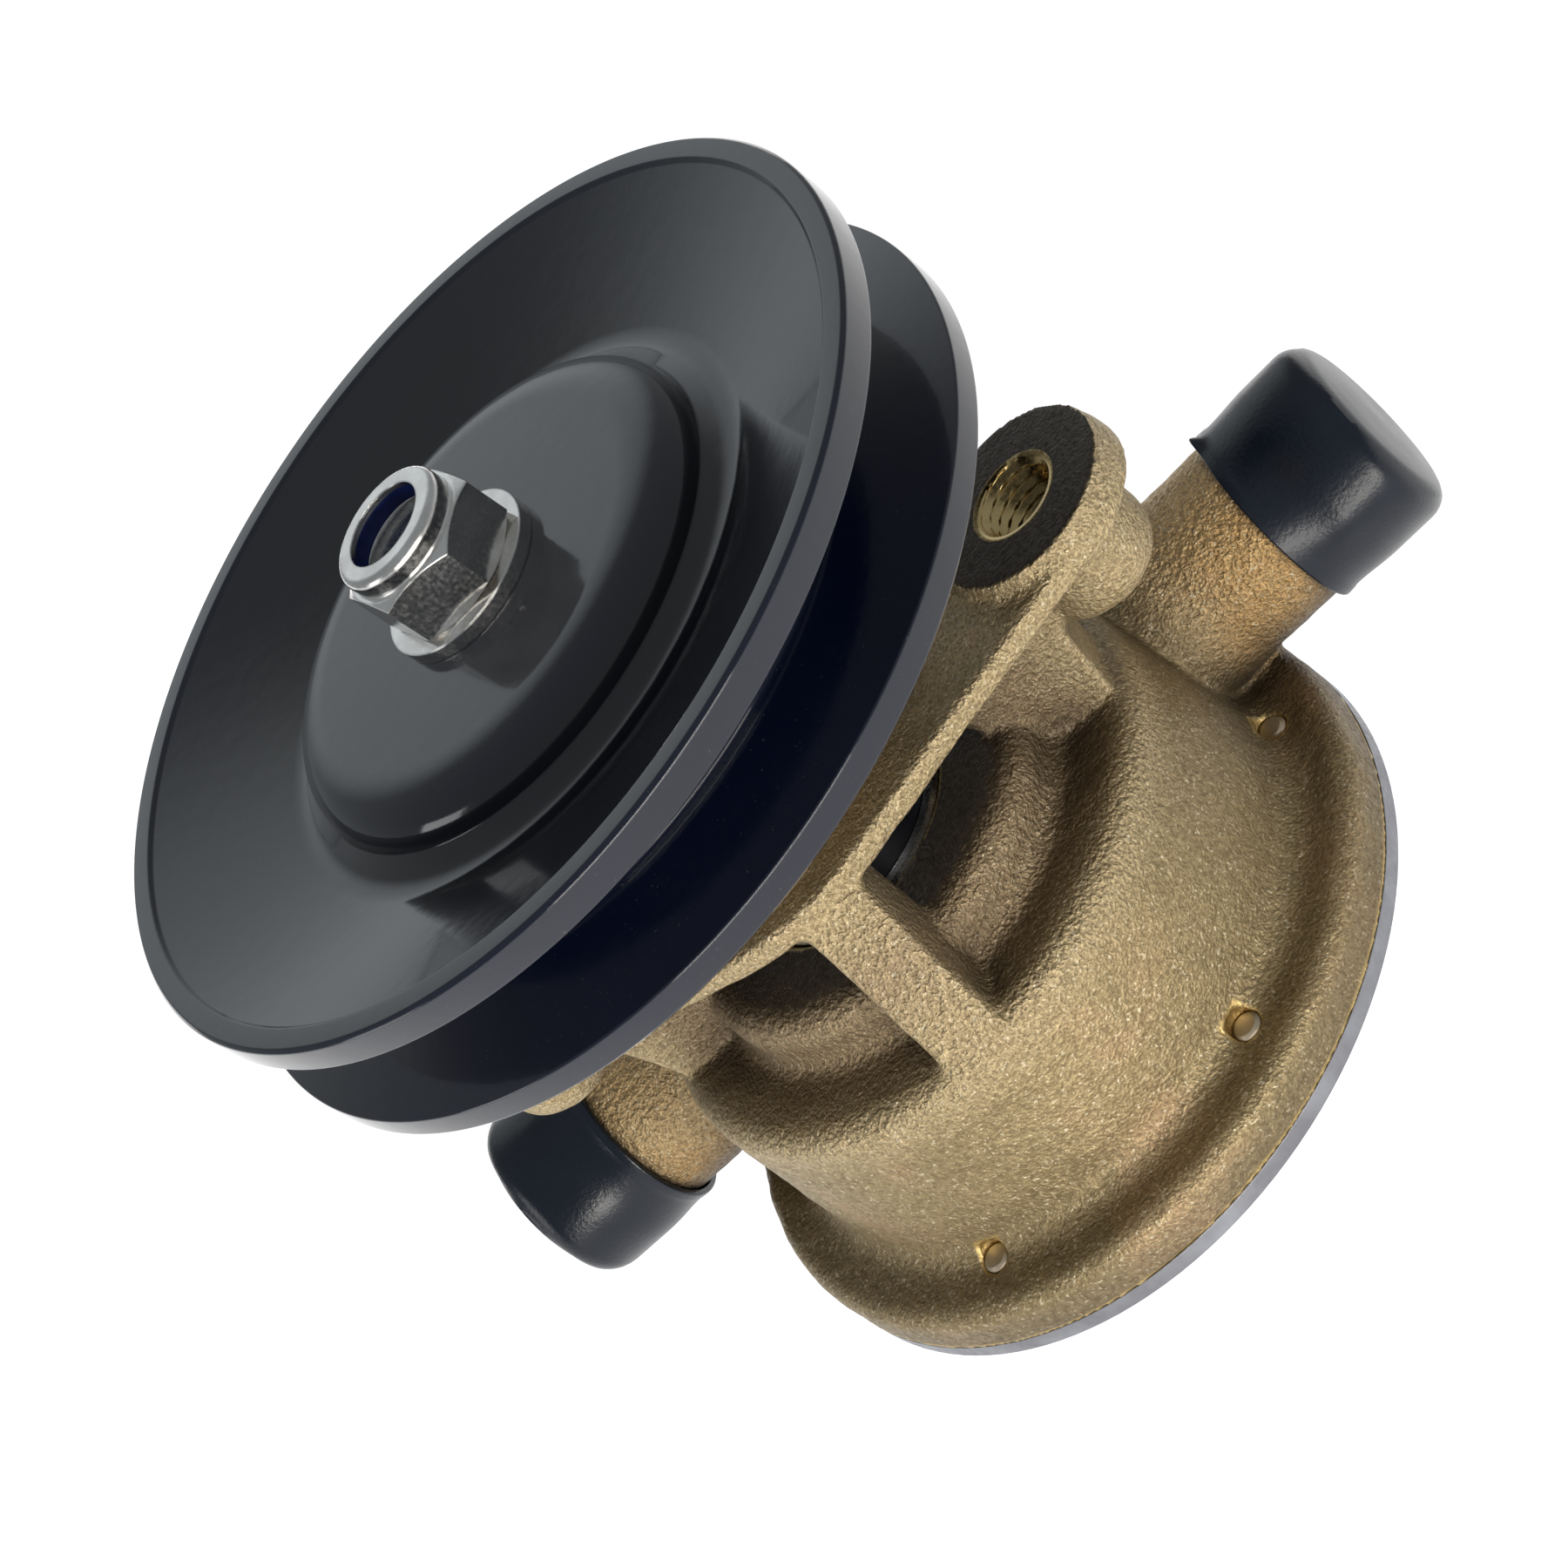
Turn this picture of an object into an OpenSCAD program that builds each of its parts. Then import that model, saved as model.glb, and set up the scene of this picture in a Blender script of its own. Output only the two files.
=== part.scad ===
// Belt-driven flexible impeller pump. A bronze casting carries the pump chamber at its foot, an open
// frame of four posts above it and a plate with two mounting ears on top of the posts. The shaft runs
// in two ball bearings, turns a rubber impeller at its lower end and is driven by a V-belt pulley.
// Millimetres. The shaft stands along Z with the cover at the bottom. The ears lie along X. The two
// hose ports lie nearly along X too, on one line set off to the +Y side. The origin is on the shaft's axis,
// level with the underside of the cover screws' heads.

/* [Pump chamber] */
// Bore of the pump chamber
chamber_d = 90; // [88:0.5:91]
// Depth of the pump chamber
chamber_depth = 33.5; // [33:0.5:36]
// Casting left between the chamber and the seal
chamber_wall = 2; // [1.5:0.5:4]
// Thickness of the cover plate
cover_t = 3; // [2:0.5:5]
// Pitch circle of the cover screws
screw_circle_d = 108.6; // [107:0.2:111]
// Number of cover screws
screw_count = 6; // [4:1:8]

/* [Casting] */
// Diameter of the round flange and of the cover
flange_d = 128.6; // [126:0.2:134]
// Thickness of the flange
flange_t = 9; // [8:0.5:12]
// Diameter of the chamber's outside where it stands on the flange
dome_foot_d = 105; // [102:0.5:105]
// Diameter of the chamber's outside at its upper edge
dome_top_d = 101; // [99:0.5:102]
// Diameter of the boss that holds the lower bearing
boss_d = 72; // [66:0.5:76]
// Height of that boss above the chamber's top face
boss_h = 10; // [7:0.5:12]
// Height of the open windows between that boss and the ear plate
window_h = 16; // [14:0.5:24]
// Thickness of the ear plate
plate_t = 4.5; // [4:0.5:8]
// Diameter of the round middle of the ear plate
plate_mid_d = 73; // [68:0.5:78]

/* [Mounting ears] */
// Distance between the two threaded holes
ear_spacing = 120; // [112:1:130]
// Diameter of each ear
ear_d = 33.2; // [33:0.2:38]
// Diameter of the machined pad on each ear
pad_d = 32.4; // [28:0.2:33]
// Height of the pad above the plate
pad_h = 2.9; // [1:0.1:5]
// Diameter of the drilled hole before its thread is cut
ear_hole_d = 12; // [10:0.5:14]
// Depth of the hole below the pad
ear_hole_depth = 18; // [14:0.5:19]

/* [Hose ports] */
// Outside diameter of the hose nipples
port_d = 32; // [30:0.5:33]
// Bore of the hose nipples
port_bore_d = 23; // [18:0.5:23]
// Height of the ports' axis above the flange's back face
port_rise = 21.5; // [21:0.1:21.8]
// Distance of the ports' line from the shaft's axis, level with it
port_offset = 25.5; // [24:0.5:28]
// Angle by which the ports' line is turned away from the ears' line
port_turn = 1.8; // [0:0.2:3]
// Distance from the middle of the ports' line to the end of a nipple
port_reach = 92; // [88:1:100]
// Length of nipple that a cap covers
cap_grip = 17; // [14:0.5:20]

/* [Pulley] */
// Outside diameter of the pulley
pulley_d = 152; // [148:1:160]
// Width of the belt groove at its mouth
groove_w = 17.2; // [15:0.2:18]
// Angle between the two walls of the belt groove
groove_angle = 38; // [34:1:40]
// Depth of the belt groove
groove_depth = 17.5; // [15:0.5:18]
// Width of the pulley's front lip
front_lip_w = 5.6; // [5:0.2:7]
// Width of the pulley's rear lip
rear_lip_w = 4.8; // [4:0.2:6]
// Space between the ears' pads and the pulley's rear lip
pulley_gap = 28; // [26:0.5:34]
// Thickness of the pressed steel halves
sheet_t = 4; // [3.5:0.1:4.2]

/* [Bearings] */
// Outside diameter of the ball bearings
bearing_od = 40; // [39:0.5:42]
// Bore of the ball bearings
bearing_bore_d = 17; // [16:0.5:18]
// Width of the ball bearings
bearing_w = 12; // [11:0.5:14]
// Number of balls in each bearing
ball_count = 8; // [6:1:9]

/* [Impeller] */
// Number of rubber vanes
vane_count = 10; // [6:1:12]
// Thickness of a vane
vane_t = 4; // [3:0.25:5]
// Diameter of the impeller's rubber hub
impeller_hub_d = 33; // [30:0.5:38]
// Thickness of the cam at its middle
cam_h = 7.5; // [5:0.25:8]

/* [Hidden] */
$fn = 96;

// One overrun serves all cuts, and one small gap all pieces that sit tight in each other
cut = 1;
fit_gap = 0.02;
running_gap = 0.06;
sliding_gap = 0.3;
arc_steps = 6;

// Cover screws: slotted pan heads, with the threaded ends showing through the flange
screw_d = 5;
screw_head_d = 9.5;
screw_head_h = 3;
screw_end_chamfer = 0.5;
screw_slot_w = 1.2;
screw_slot_depth = 1.4;
screw_hole_gap = 0.1;
screw_turn = 3;
screw_end_rise = 0.75;
screw_hole_rise = 2.8;

// Rounded edges and corners of the casting
flange_round = 3.5;
foot_fillet = 5;
dome_round = 4;
boss_round = 5;
boss_fillet = 3;
seat_chamfer = 1;
side_inset = 0.1;
embed = 2;

// Bearing housing on the ear plate
hub_d = 52;
hub_lip_t = 2.5;
hub_lip_hole_d = 28;
circlip_t = 1.1;
circlip_groove_t = 1.2;
circlip_groove_depth = 1;
circlip_land_t = 1.8;
circlip_w = 2.6;
circlip_end_gap = 0.2;
circlip_mouth_angle = 24;
circlip_lug_d = 5;
circlip_eye_d = 1.8;

// Blind boss under each ear, and the chamfer at the mouth of its hole
ear_boss_d = 22;
ear_boss_l = 15.5;
ear_boss_round = 6;
ear_mouth_chamfer = 1.1;

// Posts under the ears, with their inner and outer edges at the plate and at the chamber's top
ear_post_w = 16;
ear_post_in_top = 24;
ear_post_in_low = 29.5;
ear_post_out_top = 52;
ear_post_out_low = 47.5;
// Posts at the front and the back, set off sideways from the shaft's axis
side_post_w = 12;
side_post_shift = 3.5;
side_post_in_top = 25;
side_post_in_low = 29;
side_post_out_low = 49.3;
side_post_foot_drop = 1;

// Hose nipples, and the thicker root that joins each to the chamber
port_root_d = 36;
port_root_start = 46;
port_root_end = 60;
port_inner_end = 20;
port_end_chamfer = 1;

// Soft caps pushed over the nipples: wall at the mouth, at the waist and at the bulge
cap_mouth_t = 1.1;
cap_waist_t = 0.8;
cap_bulge_t = 1.7;
cap_end_t = 5.6;
cap_corner = 7;
cap_lip_l = 1.6;
cap_waist_share = 0.35;

// Cam and its screw
cam_half_w = 22;
cam_face_r = 150;
cam_screw_d = 6;
cam_screw_head_d = 11;
cam_screw_head_h = 3.5;
cam_screw_bite = 5;
cam_screw_slot_w = 1.4;
cam_screw_slot_depth = 1.6;
cam_boss_d = 15;
cam_boss_h = 3;

// Ring seal of the cover
o_ring_d = 2.4;
o_ring_mid_r = 48.6;
o_ring_groove_gap = 0.1;

// Wear plate behind the impeller
wear_t = 1;
wear_gap = 0.3;
wear_hole_gap = 1;

// Lip seal of the shaft
seal_od = 30;
seal_w = 7;
seal_case_t = 1;
seal_case_hole_d = 22;
seal_lip_root_t = 1.2;
seal_lip_reach = 3.4;
seal_lip_edge_t = 0.8;
seal_spring_d = 1.3;
shaft_hole_gap = 0.8;

// Ball bearings
ball_gap = 0.15;
ball_d = 6.6;
race_t = 2.8;
race_edge = 0.6;
shield_t = 0.8;
shield_recess = 0.2;
cage_t = 1;
cage_h = 8;

// Shaft, with its steps from the impeller up to the threaded end
impeller_seat_d = 14;
shaft_low_gap = 0.8;
impeller_seat_gap = 0.2;
pulley_seat_d = 16;
thread_d = 14;
seat_relief = 0.5;
thread_end_drop = 4.6;
shaft_chamfer = 1;
shaft_circlip_t = 1.1;
shaft_circlip_w = 2.4;
shaft_circlip_depth = 0.5;
shaft_circlip_mouth_angle = 60;

// Spacers, and the rubber ring that throws off drips
bearing_spacer_t = 2.5;
hub_spacer_t = 3;
slinger_od = 33;
slinger_edge_t = 1;
slinger_root_t = 3;
slinger_rise = 9.5;

// Pulley: front face from the middle plateau over its shoulder and valley to the rim
plateau_drop = 0.4;
shoulder_w = 9.6;
shoulder_h = 6;
valley_w = 4.9;
valley_inset = 30;
valley_depth = 9.5;
rim_land_w = 3.8;
rim_land_step = 0.6;
lip_edge = 0.8;
weld_ring_w = 11.5;
rear_bend = 3;
pulley_hub_d = 34;
pulley_hub_flange_d = 50;
pulley_hub_flange_t = 4;
hub_spacer_l = 9.9;

// Keys: width and height alike, with the depth that each has in the shaft
pulley_key_w = 5;
pulley_key_l = 22;
pulley_key_depth = 3;
pulley_key_rise = 4;
impeller_key_w = 4;
impeller_key_l = 20;
impeller_key_depth = 2.5;
impeller_key_rise = 5;

// Washer and self-locking nut
washer_d = 27.8;
washer_t = 2.5;
washer_hole_gap = 0.3;
nut_af = 22;
nut_h = 13.7;
nut_hex_h = 10;
nut_chamfer_angle = 30;
nut_collar_d = 20.6;
nut_collar_round = 1.4;
nylon_od = 17.4;
nylon_h = 2.6;
nylon_drop = 1;
thread_gap = 0.05;

// Impeller
impeller_gap = 0.4;
bush_d = 20;
bush_gap = 0.03;
vane_bead_d = 5.6;
vane_root_t = 5.5;
vane_wall_gap = 0.3;
vane_trail = 12;
vane_squeeze = 20;
cam_reach_angle = 34;
vane_steps = 8;

// Radii
chamber_r = chamber_d / 2;
flange_r = flange_d / 2;
foot_r = dome_foot_d / 2;
dome_r = dome_top_d / 2;
boss_r = boss_d / 2;
shaft_r = bearing_bore_d / 2;
bearing_r = bearing_od / 2;
pitch_r = (bearing_od + bearing_bore_d) / 4;
ball_r = ball_d / 2;
outer_land_r = bearing_r - race_t;
inner_land_r = shaft_r + race_t;
port_r = port_d / 2;
pulley_r = pulley_d / 2;
groove_floor_r = pulley_r - groove_depth;
valley_r = pulley_r - valley_inset;
plateau_r = valley_r - valley_w - shoulder_w;
weld_ring_r = groove_floor_r - weld_ring_w;
half_ears = ear_spacing / 2;

// Heights
z_cover = screw_head_h;
z_flange = z_cover + cover_t;
z_flange_top = z_flange + flange_t;
z_port = z_flange + port_rise;
z_chamber = z_flange + chamber_depth;
z_seal = z_chamber + chamber_wall;
z_rear_bearing = z_seal + seal_w;
z_boss = z_rear_bearing + bearing_w;
z_dome = z_boss - boss_h;
z_plate = z_boss + window_h;
z_plate_top = z_plate + plate_t;
z_pad = z_plate_top + pad_h;
z_front_bearing = z_plate + hub_lip_t;
z_bearing_top = z_front_bearing + bearing_w;
z_hub_top = z_bearing_top + circlip_groove_t + circlip_land_t;
z_pulley = z_pad + pulley_gap;
z_rim = z_pulley + rear_lip_w + groove_w + front_lip_w;
z_plateau = z_rim - plateau_drop;
z_plateau_back = z_plateau - sheet_t;
z_pulley_hub = z_bearing_top + hub_spacer_l;
z_washer_top = z_plateau + washer_t;
z_nut_top = z_washer_top + nut_h;
z_cam_screw = (z_flange + z_chamber - wear_t) / 2;

// Points of a round stretch, from one angle to another
function arc(x, y, r, from, to, n = arc_steps) =
    [for (i = [0:n]) [x + r * cos(from + (to - from) * i / n), y + r * sin(from + (to - from) * i / n)]];
// Points of an oval stretch with two half axes
function oval(x, y, rx, ry, from, to, n = arc_steps) =
    [for (i = [0:n]) [x + rx * cos(from + (to - from) * i / n), y + ry * sin(from + (to - from) * i / n)]];

// A tube standing on z
module ring(z, h, outer_r, inner_r) {
    translate([0, 0, z])
        rotate_extrude()
            translate([inner_r, 0])
                square([outer_r - inner_r, h]);
}

// A cylinder standing on z
module disc(z, h, r) {
    translate([0, 0, z]) cylinder(h = h, r = r);
}

// What lies on one side of the shaft, repeated on the other
module both_sides() {
    children();
    mirror([1, 0, 0]) children();
}

// Holes and screws of the cover share one circle
module on_screw_circle() {
    for (i = [0:screw_count - 1])
        rotate(screw_turn + i * 360 / screw_count)
            translate([screw_circle_d / 2, 0, 0])
                children();
}

// Turns what was drawn upwards so that it lies on the ports' line and points outwards on one side
module at_port(side) {
    translate([0, port_offset, z_port])
        rotate([0, 0, port_turn])
            rotate([0, side * 90, 0])
                children();
}

// The casting's outside: flange, chamber wall and bearing boss, turned in one piece
module body_of_revolution() {
    rotate_extrude()
        polygon(concat(
            [[0, z_flange], [flange_r, z_flange]],
            arc(flange_r - flange_round, z_flange_top - flange_round, flange_round, 0, 90),
            arc(foot_r + foot_fillet, z_flange_top + foot_fillet, foot_fillet, 270, 180),
            arc(dome_r - dome_round, z_dome - dome_round, dome_round, 0, 90),
            arc(boss_r + boss_fillet, z_dome + boss_fillet, boss_fillet, 270, 180),
            arc(boss_r - boss_round, z_boss - boss_round, boss_round, 0, 90),
            [[0, z_boss]]));
}

// Outline of the ear plate: a round middle and two round ears, joined by straight sides a touch inside
// their tangents, so that each side crosses the rounds cleanly
module ear_plate_outline() {
    mid_r = plate_mid_d / 2;
    end_r = ear_d / 2;
    lean = acos((mid_r - end_r) / half_ears);
    mid = (mid_r - side_inset) * [cos(lean), sin(lean)];
    end = [half_ears, 0] + (end_r - side_inset) * [cos(lean), sin(lean)];
    circle(r = mid_r);
    for (side = [-1, 1]) {
        translate([side * half_ears, 0]) circle(r = end_r);
        polygon([[side * mid.x, mid.y], [side * end.x, end.y], [side * end.x, -end.y], [side * mid.x, -mid.y]]);
    }
}

// One ear: machined pad above the plate and blind boss below it
module ear() {
    end_z = z_plate - ear_boss_l;
    boss_r = ear_boss_d / 2;
    translate([half_ears, 0, 0]) {
        disc(z_plate, z_pad - z_plate, pad_d / 2);
        rotate_extrude()
            polygon(concat(
                [[0, end_z]],
                arc(boss_r - ear_boss_round, end_z + ear_boss_round, ear_boss_round, -90, 0),
                [[boss_r, z_plate_top], [0, z_plate_top]]));
    }
}

// Threaded hole of one ear, with its chamfered mouth
module ear_hole() {
    hole_r = ear_hole_d / 2;
    translate([half_ears, 0, 0]) {
        disc(z_pad - ear_hole_depth, ear_hole_depth + cut, hole_r);
        translate([0, 0, z_pad - ear_mouth_chamfer])
            cylinder(h = ear_mouth_chamfer + fit_gap, r1 = hole_r, r2 = hole_r + ear_mouth_chamfer + fit_gap);
    }
}

// Post under an ear. It stands on the chamber's top face against the boss and widens into the plate.
module ear_post() {
    rotate([90, 0, 0])
        translate([0, 0, -ear_post_w / 2])
            linear_extrude(ear_post_w)
                polygon([
                    [ear_post_in_low, z_dome - embed],
                    [ear_post_out_low, z_dome - dome_round],
                    [ear_post_out_low, z_dome],
                    [half_ears - ear_boss_d / 2 + embed, z_plate - ear_boss_l + ear_boss_round],
                    [ear_post_out_top, z_plate + embed],
                    [ear_post_in_top, z_plate + embed],
                    [ear_post_in_top, z_plate],
                    [ear_post_in_low, z_boss]]);
}

// Post at the front or the back. Its outer face slopes from the plate's edge to the chamber's edge.
module side_post() {
    translate([side_post_shift - side_post_w / 2, 0, 0])
        rotate([90, 0, 90])
            linear_extrude(side_post_w)
                polygon([
                    [-side_post_in_low, z_dome - embed],
                    [-side_post_out_low, z_dome - dome_round],
                    [-side_post_out_low, z_dome - side_post_foot_drop],
                    [-plate_mid_d / 2, z_plate],
                    [-plate_mid_d / 2 + embed, z_plate + embed],
                    [-side_post_in_top, z_plate + embed],
                    [-side_post_in_top, z_plate],
                    [-side_post_in_low, z_boss]]);
}

// Hose nipple with its thicker root
module nipple() {
    rotate_extrude()
        polygon([
            [0, port_inner_end],
            [port_root_d / 2, port_inner_end],
            [port_root_d / 2, port_root_start],
            [port_r, port_root_end],
            [port_r, port_reach - port_end_chamfer],
            [port_r - port_end_chamfer, port_reach],
            [0, port_reach]]);
}

module port_bore() {
    disc(port_inner_end, port_reach - port_inner_end + cut, port_bore_d / 2);
}

// Place of the cam screw, drawn outwards along +Y
module at_cam_screw() {
    translate([0, 0, z_cam_screw]) rotate([-90, 0, 0]) children();
}

module pump_body() {
    color("#a8854a")
    difference() {
        union() {
            body_of_revolution();
            translate([0, 0, z_plate]) linear_extrude(plate_t) ear_plate_outline();
            disc(z_plate, z_hub_top - z_plate, hub_d / 2);
            both_sides() {
                ear();
                ear_post();
            }
            for (side = [-1, 1]) at_port(side) nipple();
            side_post();
            rotate(180) side_post();
            at_cam_screw() disc(chamber_r, foot_r + cam_boss_h - chamber_r, cam_boss_d / 2);
        }
        disc(z_flange - cut, chamber_depth + cut, chamber_r);
        disc(z_chamber - cut, chamber_wall + 2 * cut, shaft_r + shaft_hole_gap);
        disc(z_seal, seal_w + cut, seal_od / 2);
        disc(z_rear_bearing, bearing_w + cut, bearing_r);
        translate([0, 0, z_boss - seat_chamfer])
            cylinder(h = seat_chamfer + fit_gap, r1 = bearing_r, r2 = bearing_r + seat_chamfer + fit_gap);
        disc(z_plate - cut, hub_lip_t + 2 * cut, hub_lip_hole_d / 2);
        disc(z_front_bearing, z_hub_top - z_front_bearing + cut, bearing_r);
        ring(z_bearing_top, circlip_groove_t, bearing_r + circlip_groove_depth, bearing_r - cut);
        ring(z_flange - cut, o_ring_d + cut, o_ring_mid_r + o_ring_d / 2 + o_ring_groove_gap,
            o_ring_mid_r - o_ring_d / 2 - o_ring_groove_gap);
        on_screw_circle() disc(z_flange - cut, flange_t + screw_hole_rise + cut, screw_d / 2 + screw_hole_gap);
        at_cam_screw()
            disc(chamber_r - cut, foot_r + cam_boss_h - chamber_r + 2 * cut, cam_screw_d / 2 + screw_hole_gap);
        both_sides() ear_hole();
        for (side = [-1, 1]) at_port(side) port_bore();
    }
}

module cover_plate() {
    color("#b4b6b8")
    difference() {
        disc(z_cover, cover_t, flange_r);
        on_screw_circle() disc(z_cover - cut, cover_t + 2 * cut, screw_d / 2 + screw_hole_gap);
    }
}

module cover_o_ring() {
    color("#1c1c1e")
    translate([0, 0, z_flange + o_ring_d / 2])
        rotate_extrude()
            translate([o_ring_mid_r, 0])
                circle(d = o_ring_d);
}

// Pan-headed screw with a slot, drawn with its head's underside at zero and pointing up
module slotted_screw(d, reach, head_d, head_h, slot_w, slot_depth) {
    difference() {
        union() {
            rotate_extrude()
                polygon([
                    [0, -head_h / 2], [d / 2, -head_h / 2], [d / 2, reach - screw_end_chamfer],
                    [d / 2 - screw_end_chamfer, reach], [0, reach]]);
            rotate_extrude()
                polygon(concat(
                    [[0, -head_h]],
                    oval(head_d / 2 - head_h / 2, -head_h / 2, head_h / 2, head_h / 2, -90, 0),
                    [[head_d / 2, 0], [0, 0]]));
        }
        translate([-head_d, -slot_w / 2, -head_h - cut]) cube([2 * head_d, slot_w, slot_depth + cut]);
    }
}

module cover_screws() {
    color("#c9a85c")
    on_screw_circle()
        translate([0, 0, z_cover])
            slotted_screw(screw_d, cover_t + flange_t + screw_end_rise, screw_head_d, screw_head_h,
                screw_slot_w, screw_slot_depth);
}

module wear_plate() {
    color("#b9bbbd")
    ring(z_chamber - wear_t, wear_t, chamber_r - wear_gap, shaft_r + wear_hole_gap);
}

// Crescent that presses the vanes down between the two ports
module cam() {
    color("#c0a15a")
    difference() {
        intersection() {
            disc(z_flange, chamber_depth - wear_t, chamber_r - fit_gap);
            translate([-cam_half_w, 0, z_flange]) cube([2 * cam_half_w, chamber_r, chamber_depth]);
        }
        translate([0, chamber_r - cam_h - cam_face_r, z_flange - cut])
            cylinder(h = chamber_depth + 2 * cut, r = cam_face_r, $fn = 360);
        at_cam_screw() disc(chamber_r - cam_screw_bite, cam_screw_bite + cut, cam_screw_d / 2 + screw_hole_gap);
    }
}

module cam_screw() {
    head_y = foot_r + cam_boss_h;
    color("#c9a85c")
    at_cam_screw()
        translate([0, 0, head_y])
            mirror([0, 0, 1])
                slotted_screw(cam_screw_d, head_y - chamber_r + cam_screw_bite, cam_screw_head_d,
                    cam_screw_head_h, cam_screw_slot_w, cam_screw_slot_depth);
}

// Steel case of the lip seal: an outer wall and a floor
module seal_case() {
    outer_r = seal_od / 2 - fit_gap;
    color("#a9adb2")
    rotate_extrude()
        polygon([
            [seal_case_hole_d / 2, z_seal],
            [outer_r, z_seal],
            [outer_r, z_rear_bearing],
            [outer_r - seal_case_t, z_rear_bearing],
            [outer_r - seal_case_t, z_seal + seal_case_t],
            [seal_case_hole_d / 2, z_seal + seal_case_t]]);
}

// Rubber lip on the case's floor, leaning in to the shaft
module seal_lip() {
    lip_r = shaft_r + running_gap;
    root_z = z_seal + seal_case_t;
    edge_z = root_z + seal_lip_reach;
    color("#26262a")
    rotate_extrude()
        polygon([
            [seal_case_hole_d / 2, z_seal],
            [seal_case_hole_d / 2, root_z],
            [seal_case_hole_d / 2 + seal_lip_root_t, root_z],
            [seal_case_hole_d / 2 + seal_lip_root_t, root_z + seal_lip_edge_t],
            [lip_r + seal_lip_root_t, edge_z - seal_spring_d],
            [lip_r + seal_lip_root_t, edge_z],
            [lip_r, edge_z],
            [lip_r, edge_z - seal_lip_edge_t],
            [seal_case_hole_d / 2 - seal_lip_root_t, z_seal]]);
}

// Garter spring round the lip
module seal_spring() {
    color("#c3c6ca")
    translate([0, 0, z_seal + seal_case_t + seal_lip_reach - seal_spring_d / 2])
        rotate_extrude()
            translate([shaft_r + running_gap + seal_lip_root_t + seal_spring_d / 2 + fit_gap, 0])
                circle(d = seal_spring_d);
}

// Section of a bearing ring between two radii, hollowed by the balls' track
module race_section(inner_r, outer_r) {
    difference() {
        polygon([
            [inner_r, race_edge], [inner_r + race_edge, 0], [outer_r - race_edge, 0], [outer_r, race_edge],
            [outer_r, bearing_w - race_edge], [outer_r - race_edge, bearing_w],
            [inner_r + race_edge, bearing_w], [inner_r, bearing_w - race_edge]]);
        translate([pitch_r, bearing_w / 2]) circle(r = ball_r + ball_gap);
    }
}

module outer_race(z) {
    translate([0, 0, z]) rotate_extrude() race_section(outer_land_r, bearing_r - fit_gap);
}

module inner_race(z) {
    translate([0, 0, z]) rotate_extrude() race_section(shaft_r + fit_gap, inner_land_r);
}

// Rubber shields on both faces, held in the outer ring
module shields(z) {
    shield_r = outer_land_r - fit_gap;
    for (low = [shield_recess, bearing_w - shield_recess - shield_t])
        ring(z + low, shield_t, shield_r, inner_land_r + sliding_gap);
}

// Pressed band with a round pocket for each ball
module ball_cage(z) {
    difference() {
        ring(z + (bearing_w - cage_h) / 2, cage_h, pitch_r + cage_t / 2, pitch_r - cage_t / 2);
        for (i = [0:ball_count - 1])
            rotate(i * 360 / ball_count)
                translate([0, 0, z + bearing_w / 2])
                    rotate([0, 90, 0])
                        cylinder(h = bearing_r, r = ball_r + ball_gap);
    }
}

module balls(z) {
    for (i = [0:ball_count - 1])
        rotate(i * 360 / ball_count)
            translate([pitch_r, 0, z + bearing_w / 2])
                sphere(r = ball_r);
}

module rear_bearing_outer_ring() { color("#9ea3a8") outer_race(z_rear_bearing); }
module front_bearing_outer_ring() { color("#9ea3a8") outer_race(z_front_bearing); }
module rear_bearing_inner_ring() { color("#9ea3a8") inner_race(z_rear_bearing); }
module front_bearing_inner_ring() { color("#9ea3a8") inner_race(z_front_bearing); }
module rear_bearing_shields() { color("#15171d") shields(z_rear_bearing); }
module front_bearing_shields() { color("#15171d") shields(z_front_bearing); }
module rear_bearing_cage() { color("#c2b280") ball_cage(z_rear_bearing); }
module front_bearing_cage() { color("#c2b280") ball_cage(z_front_bearing); }
module rear_bearing_balls() { color("#dfe3e6") balls(z_rear_bearing); }
module front_bearing_balls() { color("#dfe3e6") balls(z_front_bearing); }

// Wedge of a full turn's angle, for the mouths of the spring rings
module mouth(angle, r) {
    half = angle / 2;
    polygon([[0, 0], r * [cos(half), -sin(half)], [r / cos(half), 0], r * [cos(half), sin(half)]]);
}

// Spring ring over the front bearing, with two eyes at its mouth
module bearing_circlip() {
    outer_r = bearing_r + circlip_groove_depth - circlip_end_gap;
    inner_r = outer_r - circlip_w;
    lug_r = bearing_r - circlip_lug_d / 2 - circlip_end_gap;
    half_mouth = circlip_mouth_angle / 2;
    color("#3c3f44")
    translate([0, 0, z_bearing_top])
        linear_extrude(circlip_t)
            difference() {
                union() {
                    difference() {
                        circle(r = outer_r);
                        circle(r = inner_r);
                        mouth(circlip_mouth_angle, 2 * outer_r);
                    }
                    for (side = [-1, 1])
                        rotate(side * half_mouth) translate([lug_r, 0]) circle(d = circlip_lug_d);
                }
                for (side = [-1, 1])
                    rotate(side * half_mouth) translate([lug_r, 0]) circle(d = circlip_eye_d);
            }
}

// Keyway along the shaft on the +X side, and the key that fills it
module key_slot(z, l, w, low_r, extra) {
    translate([low_r - extra, -w / 2 - extra, z - extra]) cube([w + 2 * extra, w + 2 * extra, l + 2 * extra]);
}

module pulley_key_space(extra) {
    key_slot(z_pulley_hub + pulley_key_rise, pulley_key_l, pulley_key_w,
        pulley_seat_d / 2 - pulley_key_depth, extra);
}

module impeller_key_space(extra) {
    key_slot(z_flange + impeller_key_rise, impeller_key_l, impeller_key_w,
        impeller_seat_d / 2 - impeller_key_depth, extra);
}

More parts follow.
